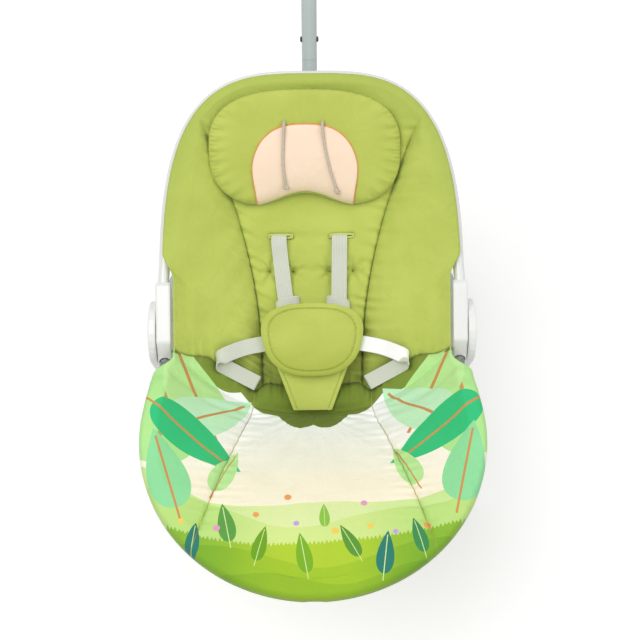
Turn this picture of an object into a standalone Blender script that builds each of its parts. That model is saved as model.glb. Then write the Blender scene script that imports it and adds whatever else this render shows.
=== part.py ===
"""Electric baby swing: a padded seat that reclines between two side arms, on an arm that swings about an
inclined shaft in a rear motor housing, on a floor ring. Metres, +Z up, the head end towards +Y."""

import math

import bmesh
import bpy
import numpy as np
from mathutils import Matrix, Vector

# Seat plan and the ring that carries it
BACK_ANGLE = math.radians(30.0)
BACK_LENGTH = 0.318
BACK_HALF_WIDTH = 0.191
BACK_POWER = 3.3
LEG_HALF_WIDTH = 0.2057
LEG_POWER = 2.0
LEG_CENTRE = 0.150
LEG_REACH = 0.353
RING_HEIGHT = 0.400
RIM_TUBE_R = 0.007
TUBE_WALL = 0.0014
GAP = 0.0003
RUN_GAP = 0.0004

# Pads
PAD_EDGE_INSET = 0.005
PAD_THICK = 0.018
PAD_EDGE_THICK = 0.008
PAD_HIP_HALF_WIDTH = 0.172
SEAM_AT = 0.030
CREASE_Y = -0.070
CREASE_DROP = 0.110
WING_GROOVE = 0.004
TUFT_DEPTH = 0.005
SLOT_WIDTH = 0.030
SLOT_HEIGHT = 0.005
SLOT_DEPTH = 0.009
SLOT_SPACING = 0.079
SLOT_UP = 0.115
PILLOW_HALF_WIDTH = 0.120
PILLOW_HALF_HEIGHT = 0.073
PILLOW_UP = 0.218
PILLOW_THICK = 0.030
PILLOW_LIFT = 0.0022
PILLOW_ASIDE = -0.007
PILLOW_EDGE = 0.004
PILLOW_DENT = 0.024
DENT_REACH = 0.050
BEAN_POWER = 2.7
INSERT_HALF_WIDTH = 0.0675
INSERT_HEIGHT = 0.098
INSERT_FOOT = 0.022
INSERT_THICK = 0.005
INSERT_EDGE = 0.0012
BACK_BAND = 0.0096
LEG_BAND = 0.0215
BACK_HOLLOW = 0.080
HOLLOW_RATE = 0.22
BOWL_POWER = 2.6
CENTRE_SEAM = 0.065
SEAM_FLARE = 1.2
LEG_SEAM_FLARE = 0.045
HIP_FROM = 0.058
HIP_TO = 0.095
TUFTS = ((0.070, 0.054), (0.070, 0.024))
TUFT_REACH = 0.008
DEEP_ENOUGH = 0.030

# Harness
WEB_WIDTH = 0.020
WEB_THICK = 0.0016
FLAP_HALF_WIDTH = 0.064
FLAP_HEIGHT = 0.093
FLAP_THICK = 0.007
FLAP_EDGE = 0.0008
FLAP_SAG = 0.0035
BUCKLE_WIDTH = 0.042
BUCKLE_HEIGHT = 0.046
BUCKLE_THICK = 0.014
BUCKLE_TRAVEL = 0.003
BUCKLE_KEY = (0.018, 0.022)
BUCKLE_KEY_THICK = 0.0034
FLAP_S = -0.0186
FLAP_N = -0.0300
FLAP_POWER = 2.6
FLAP_TAPER = 0.14
STRAP_END_UP = 0.022

# Side hubs
PIVOT_S = -0.008
PIVOT_N = -0.024
HUB_INNER_X = 0.1755
HUB_OUTER_X = 0.1940
HUB_R = 0.046
SIDE_DISC_R = 0.040
SIDE_DISC_THICK = 0.0095
HUB_FACE = 0.012
HUB_TOP = ((0.056, -0.007), (0.050, 0.0), (-0.020, 0.0), (-0.041, -0.016))
PIVOT_PIN_R = 0.005
PIN_INSET = 0.003
ARM_SKIN = 0.004
ARM_FOOT_R = 0.013
SLEEVE_WALL = 0.0025
SLEEVE_BOTTOM = 0.272
SLEEVE_TOP = 0.322
RECLINE_BUTTON_R = 0.009
RECLINE_TRAVEL = 0.003
RECLINE_PROUD = 0.0038

# Yoke and drive arm
YOKE_TUBE_R = 0.009
YOKE_X = 0.192
YOKE_BOTTOM = 0.178
YOKE_BEND = 0.070
ARM_TUBE_R = 0.0125
SHAFT_ANGLE = math.radians(55.0)
SHAFT_Y = 0.300
SHAFT_Z = 0.235
SHAFT_R = 0.006
SHAFT_IN = 0.078
FACE_OUT = 0.035
BEARING_R = 0.014
BEARING_LENGTH = 0.012
BOSS_WALL = 0.0035
LOWER_BEARING = -0.057
COLLAR_R = 0.019
ARM_STANDOFF = 0.010
ARM_START = 0.021
ARM_BEND = 0.070
CLAMP_HALF = 0.028
CLAMP_LENGTH = 0.062
CLAMP_WALL = 0.0055
MAGNET_REACH = 0.070

# Base
RING_TUBE_R = 0.0125
RING_HALF_WIDTH = 0.225
RING_REAR = 0.350
RING_FRONT = 0.165
RING_BEND = 0.060
PAD_UNDER_TUBE = 0.006
HOUSING_WIDTH = 0.190
HOUSING_WALL = 0.0025
HOUSING_FRONT = 0.185
HOUSING_BACK = 0.405
HOUSING_BOTTOM = 0.004
PARTING_Z = 0.062
SOCKET_DEPTH = 0.040
BUTTON_R = 0.008
BUTTON_PITCH = 0.036
BUTTON_TRAVEL = 0.0015
BUTTON_PROUD = 0.0025
PANEL_THICK = 0.003
PANEL_TOP = (0.352, 0.293)
PANEL_FOOT = (0.398, 0.170)
PANEL_SIZE = (0.150, 0.046)
PANEL_SINK = 0.0012
BOARD_DEPTH = 0.0068
BOARD_THICK = 0.0016
COIL_GAP = 0.0095
COIL_OUTER = 0.014
COIL_INNER = 0.005
COIL_THICK = 0.0065
SPEAKER_Z = 0.087
SPEAKER_R = 0.017
GRILLE_PITCH = 0.0062
INLET_X = -0.060
INLET_R = 0.0055
CORNER_X = 0.2225
CORNER_Y = -0.062
CORNER_SIZE = (0.036, 0.062)
FRONT_KNOTS = ((0.2195, -0.0640), (0.2110, -0.0950), (0.1850, -0.1280), (0.1200, -0.1570))
REAR_PAD_AT = 0.095

# Pole
POLE_R = 0.0095
POLE_STUB = 0.018
POLE_BUTTON_UP = 0.042
POLE_TOP = 0.535
POLE_SHOULDER = (0.315, 0.505)
POLE_REACH = 0.125
POLE_BEND = 0.100
POLE_CLEAR = 0.0006
SOCKET_LOW = -0.026
SOCKET_HIGH = -0.005
SOCKET_WALL = 0.0035
SADDLE_HALF = 0.016
SNAP_R = 0.0035
SNAP_PROUD = 0.0022

HUB_Y = -(HOUSING_BACK - LEG_REACH) / 2
RING = Vector((0.0, HUB_Y, RING_HEIGHT))
UP_SLOPE = Vector((0.0, math.cos(BACK_ANGLE), math.sin(BACK_ANGLE)))
OFF_SLOPE = Vector((0.0, -math.sin(BACK_ANGLE), math.cos(BACK_ANGLE)))
SHAFT_DIR = Vector((0.0, -math.cos(SHAFT_ANGLE), math.sin(SHAFT_ANGLE)))
SHAFT_AT = Vector((0.0, HUB_Y + SHAFT_Y, SHAFT_Z))
RING_TUBE_Z = PAD_UNDER_TUBE + RING_TUBE_R
ARM_T = FACE_OUT + ARM_STANDOFF + ARM_TUBE_R
COIL_T = -SHAFT_IN - COIL_GAP
PAD_EDGE_RISE = RIM_TUBE_R + 3 * GAP + PAD_EDGE_THICK
TUBE_INSIDE = 2 * RIM_TUBE_R + 4 * GAP
CREASE = (CREASE_Y * math.cos(BACK_ANGLE) - CREASE_DROP * math.sin(BACK_ANGLE),
          -CREASE_Y * math.sin(BACK_ANGLE) - CREASE_DROP * math.cos(BACK_ANGLE))
BUCKLE_TOP_N = FLAP_N - FLAP_THICK / 2 - 2 * GAP
BUCKLE_S = FLAP_S - 0.002
POLE_DIR = (UP_SLOPE * math.cos(BACK_ANGLE) + OFF_SLOPE * math.sin(BACK_ANGLE)).normalized()
POLE_SIDE = UP_SLOPE * math.sin(BACK_ANGLE) - OFF_SLOPE * math.cos(BACK_ANGLE)
POLE_AT = RING + UP_SLOPE * (BACK_LENGTH - RIM_TUBE_R) + POLE_SIDE * (RIM_TUBE_R + POLE_R + POLE_CLEAR)


def clear_scene():
    for old in list(bpy.data.objects):
        bpy.data.objects.remove(old, do_unlink=True)


def finish(name, colour, roughness, metallic=0.0):
    """One Principled material, colour given as sRGB hex."""
    made = bpy.data.materials.get(name)
    if made:
        return made
    made = bpy.data.materials.new(name)
    made.use_nodes = True
    parts = [int(colour[i:i + 2], 16) / 255 for i in (0, 2, 4)]
    linear = [c / 12.92 if c <= 0.04045 else ((c + 0.055) / 1.055) ** 2.4 for c in parts]
    shader = made.node_tree.nodes["Principled BSDF"]
    shader.inputs["Base Color"].default_value = (*linear, 1.0)
    shader.inputs["Roughness"].default_value = roughness
    shader.inputs["Metallic"].default_value = metallic
    made.diffuse_color = (*linear, 1.0)
    return made


WHITE = ("white moulded plastic", "f4f4f1", 0.35)
GREY = ("grey moulded plastic", "8e9492", 0.45)
RUBBER = ("grey rubber", "4a4d4e", 0.8)
STEEL = ("turned steel", "a9adb0", 0.3, 1.0)
PAINT = ("grey painted tube", "b5bebd", 0.4, 0.2)
GREEN = ("green padded cloth", "bcc664", 0.85)
PRINT = ("printed cloth", "e6efc0", 0.85)
PEACH = ("peach cloth", "fee4cd", 0.8)
WEBBING = ("grey webbing", "cfcfbd", 0.85)
BOARD = ("circuit board", "2f6b45", 0.5)
COPPER = ("copper winding", "b87333", 0.35, 1.0)
RED = ("red button", "b4493c", 0.4)
SNAP = ("dark snap button", "3c4243", 0.4, 0.6)


def add_mesh(name, points, faces, look, smooth=35.0, origin=None):
    """Makes one object from points and faces given in world space, origin on its joint axis if given."""
    mesh = bpy.data.meshes.new(name)
    base = Vector(origin) if origin is not None else Vector((0, 0, 0))
    mesh.from_pydata([tuple(Vector(p) - base) for p in points], [], faces)
    shape = bmesh.new()
    shape.from_mesh(mesh)
    bmesh.ops.recalc_face_normals(shape, faces=shape.faces)
    shape.to_mesh(mesh)
    shape.free()
    mesh.materials.append(finish(*look))
    mesh.shade_smooth()
    mesh.set_sharp_from_angle(angle=math.radians(smooth))
    obj = bpy.data.objects.new(name, mesh)
    obj.location = base
    bpy.context.collection.objects.link(obj)
    return obj


def soften(obj, width, segments=2, angle=40.0):
    bevel = obj.modifiers.new("edge", "BEVEL")
    bevel.width = width
    bevel.segments = segments
    bevel.limit_method = "ANGLE"
    bevel.angle_limit = math.radians(angle)
    return obj


def carve(obj, cutter, operation="DIFFERENCE"):
    """Adds a Boolean with a hidden helper shape."""
    cutter.hide_render = True
    cutter.display_type = "WIRE"
    step = obj.modifiers.new(cutter.name, "BOOLEAN")
    step.operation = operation
    step.object = cutter
    return obj


def frame_at(origin, along, side=Vector((1, 0, 0))):
    """Matrix whose +Z is along and whose +X is close to side."""
    z = Vector(along).normalized()
    side = Vector(side) if abs(z.dot(Vector(side).normalized())) < 0.99 else Vector((0, 0, 1))
    x = (side - z * side.dot(z)).normalized()
    y = z.cross(x)
    turn = Matrix((x, y, z)).transposed().to_4x4()
    return Matrix.Translation(Vector(origin)) @ turn


def turned(name, profile, place, sides, look, origin=None):
    """Revolves (radius, height) points about local Z. A profile that leaves the axis is closed on itself."""
    points, rows = [], []
    for radius, height in profile:
        if radius < 1e-7:
            rows.append([len(points)])
            points.append(place @ Vector((0, 0, height)))
            continue
        rows.append(list(range(len(points), len(points) + sides)))
        for k in range(sides):
            turn = 2 * math.pi * k / sides
            points.append(place @ Vector((radius * math.cos(turn), radius * math.sin(turn), height)))
    pairs = list(zip(rows, rows[1:]))
    if len(rows[0]) > 1:
        pairs.append((rows[-1], rows[0]))
    faces = []
    for low, high in pairs:
        for k in range(sides):
            n = (k + 1) % sides
            corner = [low[k % len(low)], low[n % len(low)], high[n % len(high)], high[k % len(high)]]
            ring = [c for i, c in enumerate(corner) if c not in corner[:i]]
            if len(ring) > 2:
                faces.append(ring)
    return add_mesh(name, points, faces, look, origin=origin)


def prism(name, outline, low, high, place, look, origin=None):
    """Extrudes a plane outline from low to high along local Z."""
    count = len(outline)
    points = [place @ Vector((x, y, h)) for h in (low, high) for x, y in outline]
    faces = [list(range(count)), list(range(count, 2 * count))]
    faces += [[k, (k + 1) % count, (k + 1) % count + count, k + count] for k in range(count)]
    return add_mesh(name, points, faces, look, origin=origin)


def rod(name, radius, start, end, sides, look, origin=None):
    along = Vector(end) - Vector(start)
    profile = [(0, 0), (radius, 0), (radius, along.length), (0, along.length)]
    return turned(name, profile, frame_at(start, along), sides, look, origin)


def bent_path(corners, bend, steps=6):
    """Straight runs joined by round bends of one radius, as a tube bender makes them."""
    corners = [Vector(c) for c in corners]
    path = [corners[0]]
    for before, here, after in zip(corners, corners[1:], corners[2:]):
        back = (before - here).normalized()
        on = (after - here).normalized()
        half = back.angle(on) / 2
        if half > math.radians(88.0):
            path.append(here)
            continue
        cut = bend / math.tan(half)
        centre = here + (back + on).normalized() * (bend / math.sin(half))
        start, end = here + back * cut - centre, here + on * cut - centre
        sweep = start.angle(end)
        for k in range(steps + 1):
            share = k / steps
            a = math.sin((1 - share) * sweep) / math.sin(sweep)
            b = math.sin(share * sweep) / math.sin(sweep)
            path.append(centre + start * a + end * b)
    return path + [corners[-1]]


def smooth_path(knots, steps):
    """A curve through all knots, with steps points on each stretch."""
    knots = [Vector(k) for k in knots]
    knots = [2 * knots[0] - knots[1]] + knots + [2 * knots[-1] - knots[-2]]
    path = []
    for a, b, c, d in zip(knots, knots[1:], knots[2:], knots[3:]):
        for k in range(steps):
            t = k / steps
            path.append(0.5 * (2 * b + (c - a) * t + (2 * a - 5 * b + 4 * c - d) * t * t
                               + (3 * b - a - 3 * c + d) * t ** 3))
    return path + [knots[-2]]


def sweep_frames(path, first_side):
    """Side and normal vectors carried along a path without twist."""
    side = Vector(first_side)
    frames = []
    for k, here in enumerate(path):
        along = (path[min(k + 1, len(path) - 1)] - path[max(k - 1, 0)]).normalized()
        side = (side - along * side.dot(along)).normalized()
        frames.append((here, side, along.cross(side)))
    return frames


def tube(name, path, radius, look, wall=TUBE_WALL, sides=10, side=(0, 0, 1)):
    """A hollow tube with open ends."""
    rings = []
    for r in (radius, radius - wall):
        for here, u, v in sweep_frames(path, side):
            turns = [2 * math.pi * k / sides for k in range(sides)]
            rings.append([here + u * (r * math.cos(t)) + v * (r * math.sin(t)) for t in turns])
    count = len(path)
    order = list(range(count)) + list(range(2 * count - 1, count - 1, -1))
    points = [p for i in order for p in rings[i]]
    faces = []
    for i in range(2 * count):
        j = (i + 1) % (2 * count)
        faces += [[i * sides + k, i * sides + (k + 1) % sides, j * sides + (k + 1) % sides, j * sides + k]
                  for k in range(sides)]
    return add_mesh(name, points, faces, look, smooth=50.0)


def loft(name, rings, look, smooth=40.0, origin=None):
    """Skins closed rings of equal count and closes both ends."""
    count = len(rings[0])
    points = [p for ring in rings for p in ring]
    faces = []
    for i in range(len(rings) - 1):
        faces += [[i * count + k, i * count + (k + 1) % count, (i + 1) * count + (k + 1) % count,
                   (i + 1) * count + k] for k in range(count)]
    last = (len(rings) - 1) * count
    faces += [list(range(count)), list(range(last, last + count))]
    return add_mesh(name, points, faces, look, smooth=smooth, origin=origin)


def slab(name, top, under, look):
    """A closed sheet between two grids of points, walls included."""
    rows, cols = top.shape[:2]
    points = np.concatenate([top.reshape(-1, 3), under.reshape(-1, 3)])
    size = rows * cols
    faces = []
    for base in (0, size):
        for i in range(rows - 1):
            faces += [[base + i * cols + j, base + i * cols + j + 1, base + (i + 1) * cols + j + 1,
                       base + (i + 1) * cols + j] for j in range(cols - 1)]
    edge = [j for j in range(cols)] + [i * cols + cols - 1 for i in range(1, rows)]
    edge += [(rows - 1) * cols + j for j in range(cols - 2, -1, -1)]
    edge += [i * cols for i in range(rows - 2, 0, -1)]
    for a, b in zip(edge, edge[1:] + edge[:1]):
        faces.append([a, b, b + size, a + size])
    return add_mesh(name, points.tolist(), faces, look, smooth=60.0)


def ease(value, low, high):
    """Goes smoothly from 0 at low to 1 at high."""
    t = np.clip((value - low) / (high - low), 0.0, 1.0)
    return t * t * (3 - 2 * t)


def on_slope(x, s, n):
    """A point of the back's own frame: across, up the slope and off the slope."""
    return RING + Vector((x, 0, 0)) + UP_SLOPE * s + OFF_SLOPE * n


def off_hub(x, y, z):
    return RING + Vector((x, y, z))


def rim_outline(inset, steps=22):
    """Half-superellipse of the head end, inset from its outer edge, from hub to hub: (x, s)."""
    a, b = BACK_HALF_WIDTH - inset, BACK_LENGTH - inset
    turns = [math.pi * k / steps for k in range(steps + 1)]
    power = 2 / BACK_POWER
    return [(math.copysign(abs(math.cos(t)) ** power * a, math.cos(t)), abs(math.sin(t)) ** power * b)
            for t in turns]


def mirrored(name):
    """The two sides of the swing: name suffix and sign of X."""
    return [(f"{name}_left", -1.0), (f"{name}_right", 1.0)]


def pivot_point(sign=0.0, x=0.0):
    return on_slope(sign * x, PIVOT_S, PIVOT_N)


def rim_tube_back():
    """White rim of the head end, both ends plugged into the hubs."""
    inset = RIM_TUBE_R
    arch = [on_slope(x, s, 0) for x, s in rim_outline(inset) if s > 0.075]
    foot = (HUB_INNER_X + HUB_OUTER_X) / 2
    legs = [[on_slope(sign * foot, s, 0) for s in (0.016, 0.038, 0.060)] for sign in (1, -1)]
    return tube("rim_tube_back", legs[0] + arch + legs[1][::-1], RIM_TUBE_R, WHITE, sides=8, side=OFF_SLOPE)


def leg_outline(inset, steps=16):
    """Front half of the leg part's outline from right to left: (x, y) from the hub axis."""
    a, b = LEG_HALF_WIDTH - inset, LEG_REACH - LEG_CENTRE - inset
    turns = [math.pi * k / steps for k in range(steps + 1)]
    power = 2 / LEG_POWER
    return [(math.copysign(abs(math.cos(t)) ** power * a, math.cos(t)),
             -LEG_CENTRE - abs(math.sin(t)) ** power * b) for t in turns]


def seat_tube_front():
    """Steel tube under the front edge of the leg pad."""
    inset = 0.015
    foot = (HUB_INNER_X + HUB_OUTER_X) / 2
    wide = LEG_HALF_WIDTH - inset
    legs = []
    for sign in (1, -1):
        knots = [(sign * foot, -0.016, -0.034), (sign * foot, -0.045, -0.027),
                 (sign * (foot + 0.002), -0.080, -0.019), (sign * wide, -0.122, -0.0045)]
        legs.append([off_hub(*k) for k in knots])
    arch = [off_hub(x, y, 0) for x, y in leg_outline(inset)]
    return tube("seat_tube_front", legs[0] + arch + legs[1][::-1], RIM_TUBE_R, STEEL, sides=8)


def hub_profile():
    """Side view of a hub in the back's own frame about the pivot: flat top, facet, round underside."""
    outline = [(along - PIVOT_S, HUB_FACE + over - PIVOT_N) for along, over in HUB_TOP]
    start, end = math.radians(168), math.radians(372)
    steps = 11
    for k in range(steps + 1):
        turn = start + (end - start) * k / steps
        outline.append((HUB_R * math.cos(turn), HUB_R * math.sin(turn)))
    return outline


def hub(name, sign):
    """White housing on the seat: sockets for both seat tubes and the pivot pin."""
    place = frame_at(pivot_point(), (1, 0, 0), UP_SLOPE)
    low, high = sorted((sign * HUB_INNER_X, sign * HUB_OUTER_X))
    body = prism(name, hub_profile(), low, high, place, WHITE, pivot_point())
    soften(body, 0.0025, 2, 30.0)
    foot = sign * (HUB_INNER_X + HUB_OUTER_X) / 2
    bore = RIM_TUBE_R + GAP
    back = on_slope(foot, 0.0157, 0), on_slope(foot, 0.080, 0)
    carve(body, rod(f"cut_back_{name}", bore, *back, 12, GREY))
    front = off_hub(foot, -0.0157, -0.0341), off_hub(foot, -0.080, -0.0185)
    carve(body, rod(f"cut_front_{name}", bore + 2 * GAP, *front, 12, GREY))
    pin = pivot_point(sign, HUB_INNER_X + PIN_INSET), pivot_point(sign, HUB_OUTER_X + 0.01)
    return carve(body, rod(f"cut_pin_{name}", PIVOT_PIN_R + GAP, *pin, 16, GREY))


def pivot_pin(name, sign):
    """Steel pin, tight in the hub and turning in the side arm."""
    start = pivot_point(sign, HUB_INNER_X + PIN_INSET + GAP)
    end = pivot_point(sign, HUB_OUTER_X + 2 * RUN_GAP + SIDE_DISC_THICK - ARM_SKIN - 0.0009)
    return rod(name, PIVOT_PIN_R, start, end, 16, STEEL, pivot_point())


def side_arm_outline(drop):
    """Large circle round the pivot, tangents, and a small circle drop below it: (forward, up)."""
    tilt = math.asin((SIDE_DISC_R - ARM_FOOT_R) / drop)
    turns = [-tilt + (math.pi + 2 * tilt) * k / 17 for k in range(18)]
    outline = [(SIDE_DISC_R * math.cos(t), SIDE_DISC_R * math.sin(t)) for t in turns]
    turns = [math.pi + tilt + (math.pi - 2 * tilt) * k / 6 for k in range(7)]
    return outline + [(ARM_FOOT_R * math.cos(t), ARM_FOOT_R * math.sin(t) - drop) for t in turns]


def side_arm(name, sign):
    """Moulded arm: a disc round the pivot that narrows down to a sleeve for the yoke tube."""
    inner = HUB_OUTER_X + RUN_GAP
    outer = inner + SIDE_DISC_THICK
    pivot = pivot_point()
    place = frame_at(pivot, (1, 0, 0), (0, 1, 0))
    low, high = sorted((sign * inner, sign * outer))
    body = prism(name, side_arm_outline(pivot.z - SLEEVE_BOTTOM - 0.010), low, high, place, WHITE)
    soften(body, 0.002, 2, 30.0)
    foot, head = (Vector((sign * YOKE_X, pivot.y, z)) for z in (SLEEVE_BOTTOM, SLEEVE_TOP))
    carve(body, rod(f"sleeve_{name}", YOKE_TUBE_R + GAP + SLEEVE_WALL, foot, head, 20, GREY), "UNION")
    below = Vector((0, 0, 0.01))
    bore = foot - below, head - Vector((0, 0, ARM_SKIN))
    carve(body, rod(f"cut_tube_{name}", YOKE_TUBE_R + GAP, *bore, 16, GREY))
    pin = pivot_point(sign, inner - 0.002), pivot_point(sign, outer - ARM_SKIN)
    carve(body, rod(f"cut_pin_{name}", PIVOT_PIN_R + RUN_GAP, *pin, 16, GREY))
    well = pivot_point(sign, outer - RECLINE_TRAVEL - 0.0005), pivot_point(sign, outer + 0.01)
    return carve(body, rod(f"cut_button_{name}", RECLINE_BUTTON_R + RUN_GAP, *well, 20, GREY))


def recline_button(name, sign):
    """Push button in the middle of each side arm; both are pressed to recline the seat."""
    outer = HUB_OUTER_X + RUN_GAP + SIDE_DISC_THICK
    place = frame_at(pivot_point(sign, outer), (sign, 0, 0), (0, 1, 0))
    r = RECLINE_BUTTON_R
    top = RECLINE_PROUD
    profile = [(0, -0.0002), (r, -0.0002), (r, top - 0.0016), (r - 0.0014, top - 0.0004), (0, top)]
    return turned(name, profile, place, 20, GREY, pivot_point(sign, outer))


def yoke_tube():
    """U tube that carries both side arms under the seat."""
    y = pivot_point().y
    top = SLEEVE_TOP - ARM_SKIN - GAP
    corners = [(YOKE_X, y, top), (YOKE_X, y, YOKE_BOTTOM), (-YOKE_X, y, YOKE_BOTTOM), (-YOKE_X, y, top)]
    return tube("yoke_tube", bent_path(corners, YOKE_BEND, 5), YOKE_TUBE_R, PAINT, sides=12, side=(0, 1, 0))


def along_shaft(t, drop=0.0):
    """A point on the swing shaft, t outwards from its centre; drop goes square to it, forwards and down."""
    return SHAFT_AT + SHAFT_DIR * t + Vector((0.0, -SHAFT_DIR.z, SHAFT_DIR.y)) * drop


def drive_arm():
    """Bent tube from the shaft's end to the clamp under the seat."""
    start = along_shaft(ARM_T, ARM_START)
    run = (start.z - YOKE_BOTTOM) / -SHAFT_DIR.y
    bend = along_shaft(ARM_T, ARM_START + run)
    end = (0.0, pivot_point().y + YOKE_TUBE_R + 0.0030, YOKE_BOTTOM)
    path = bent_path([start, bend, end], ARM_BEND, 5)
    return tube("drive_arm", path, ARM_TUBE_R, PAINT, sides=14, side=(1, 0, 0))


def swing_shaft():
    """Steel shaft with the cast eye that holds the drive arm pressed on its outer end."""
    low = FACE_OUT + 0.004
    top = ARM_T + 0.0165
    r = COLLAR_R
    profile = [(0, -SHAFT_IN), (SHAFT_R, -SHAFT_IN), (SHAFT_R, low), (r - 0.002, low), (r, low + 0.002),
               (r, top - 0.004), (r - 0.004, top), (0, top)]
    body = turned("swing_shaft", profile, frame_at(SHAFT_AT, SHAFT_DIR), 24, STEEL, SHAFT_AT)
    spigot = rod("spigot_of_shaft", ARM_TUBE_R - TUBE_WALL - GAP, along_shaft(ARM_T, 0.010),
                 along_shaft(ARM_T, ARM_START + 0.030), 16, STEEL)
    carve(body, spigot, "UNION")
    return body


def arm_clamp():
    """Moulded block that joins the drive arm to the middle of the yoke tube."""
    y = pivot_point().y
    outline = rounded_box(CLAMP_HALF * 2, 2 * (ARM_TUBE_R + CLAMP_WALL), 0.008, 3)
    place = frame_at((0, y - YOKE_TUBE_R - 0.005, YOKE_BOTTOM), (0, 1, 0))
    body = prism("arm_clamp", outline, 0, CLAMP_LENGTH, place, WHITE)
    soften(body, 0.002, 1, 50.0)
    cross = (-0.1, y, YOKE_BOTTOM), (0.1, y, YOKE_BOTTOM)
    carve(body, rod("cut_yoke_clamp", YOKE_TUBE_R + GAP, *cross, 14, GREY))
    seat = (0, y + YOKE_TUBE_R + 0.0025, YOKE_BOTTOM), (0, y + 0.2, YOKE_BOTTOM)
    return carve(body, rod("cut_arm_clamp", ARM_TUBE_R + GAP, *seat, 16, GREY))


def rounded_box(width, height, radius, steps=4):
    """Rounded rectangle about the centre, anticlockwise."""
    outline = []
    for quarter, (sx, sy) in enumerate(((1, 1), (-1, 1), (-1, -1), (1, -1))):
        for k in range(steps + 1):
            turn = math.pi / 2 * (quarter + k / steps)
            outline.append((sx * (width / 2 - radius) + radius * math.cos(turn),
                            sy * (height / 2 - radius) + radius * math.sin(turn)))
    return outline


def magnet_arm():
    """Inner arm on the shaft with the magnet that the drive coil pushes."""
    across = Vector((0, -SHAFT_DIR.z, SHAFT_DIR.y))
    place = frame_at(along_shaft(-SHAFT_IN + 0.001), SHAFT_DIR, across)
    outline = []
    for centre, radius, start in ((0.0, SHAFT_R + 0.005, 90), (MAGNET_REACH, 0.013, -90)):
        turns = [math.radians(start + 180 * k / 8) for k in range(9)]
        outline += [(centre + radius * math.cos(t), radius * math.sin(t)) for t in turns]
    body = prism("magnet_arm", outline, 0, 0.007, place, GREY, SHAFT_AT)
    bore = along_shaft(-SHAFT_IN - 0.01), along_shaft(0)
    return carve(body, rod("cut_magnet_arm", SHAFT_R + GAP, *bore, 24, GREY))


def bearing(name, t):
    """Plain bearing bush for the swing shaft."""
    place = frame_at(along_shaft(t), SHAFT_DIR)
    bore = SHAFT_R + RUN_GAP
    profile = [(bore, 0), (BEARING_R, 0), (BEARING_R, BEARING_LENGTH), (bore, BEARING_LENGTH)]
    return turned(name, profile, place, 24, STEEL)


def superellipse_inset(x, y, a, b, power):
    """How far inside the outline with half-axes a and b each point lies, by bisection."""
    low = np.zeros_like(x)
    high = np.full_like(x, min(a, b) * 0.999)
    for _ in range(24):
        middle = (low + high) / 2
        inside = (np.abs(x) / (a - middle)) ** power + (np.abs(y) / (b - middle)) ** power < 1.0
        low = np.where(inside, middle, low)
        high = np.where(inside, high, middle)
    return low


def superellipse_width(y, a, b, power):
    return a * np.clip(1 - np.clip(np.abs(y) / b, 0, 1) ** power, 0, 1) ** (1 / power)


def columns(width, seam, band, inner=3, wing=4):
    """Places across the pad for each row: even between seams, then even over the wing, then the edge."""
    rows = []
    for wide, at, edge in zip(width, seam, band):
        at = min(at, wide * 0.80)
        start = max(wide - edge, at + (wide - at) * 0.7)
        half = [at * k / inner for k in range(inner + 1)]
        half += [at + (start - at) * k / wing for k in range(1, wing + 1)]
        half += [start + (wide - start) * 0.6, wide]
        rows.append([-x for x in half[:0:-1]] + half)
    return np.array(rows)


def bowl(x, wide):
    """1 in the middle of the seat and 0 where the pad lies on its tube."""
    share = np.clip(np.abs(x) / np.maximum(wide, 1e-6), 0, 1)
    return np.where(wide > 1e-4, 1 - share ** BOWL_POWER, 0.0)


def groove(x, seam, reach=0.012):
    """1 on a sewn line and 0 a little away from it."""
    return np.exp(-((np.abs(x) - seam) / (reach / 2)) ** 2)


def back_pad_width(t):
    a, b = BACK_HALF_WIDTH - PAD_EDGE_INSET, BACK_LENGTH - PAD_EDGE_INSET
    full = superellipse_width(np.maximum(t, 0), a, b, BACK_POWER)
    return np.minimum(full, PAD_HIP_HALF_WIDTH + (a - PAD_HIP_HALF_WIDTH) * ease(t, HIP_FROM, HIP_TO))


def back_seam(t):
    """Distance of the wing seams from the middle at station t."""
    return CENTRE_SEAM + SEAM_FLARE * np.maximum(t - 0.012, 0) ** 2


def hollow_depth(down):
    """Depth of the seat's hollow: falls quickly near the head end, then levels out."""
    return BACK_HOLLOW * (1 - np.exp(-np.maximum(down, 0) / HOLLOW_RATE))


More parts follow.
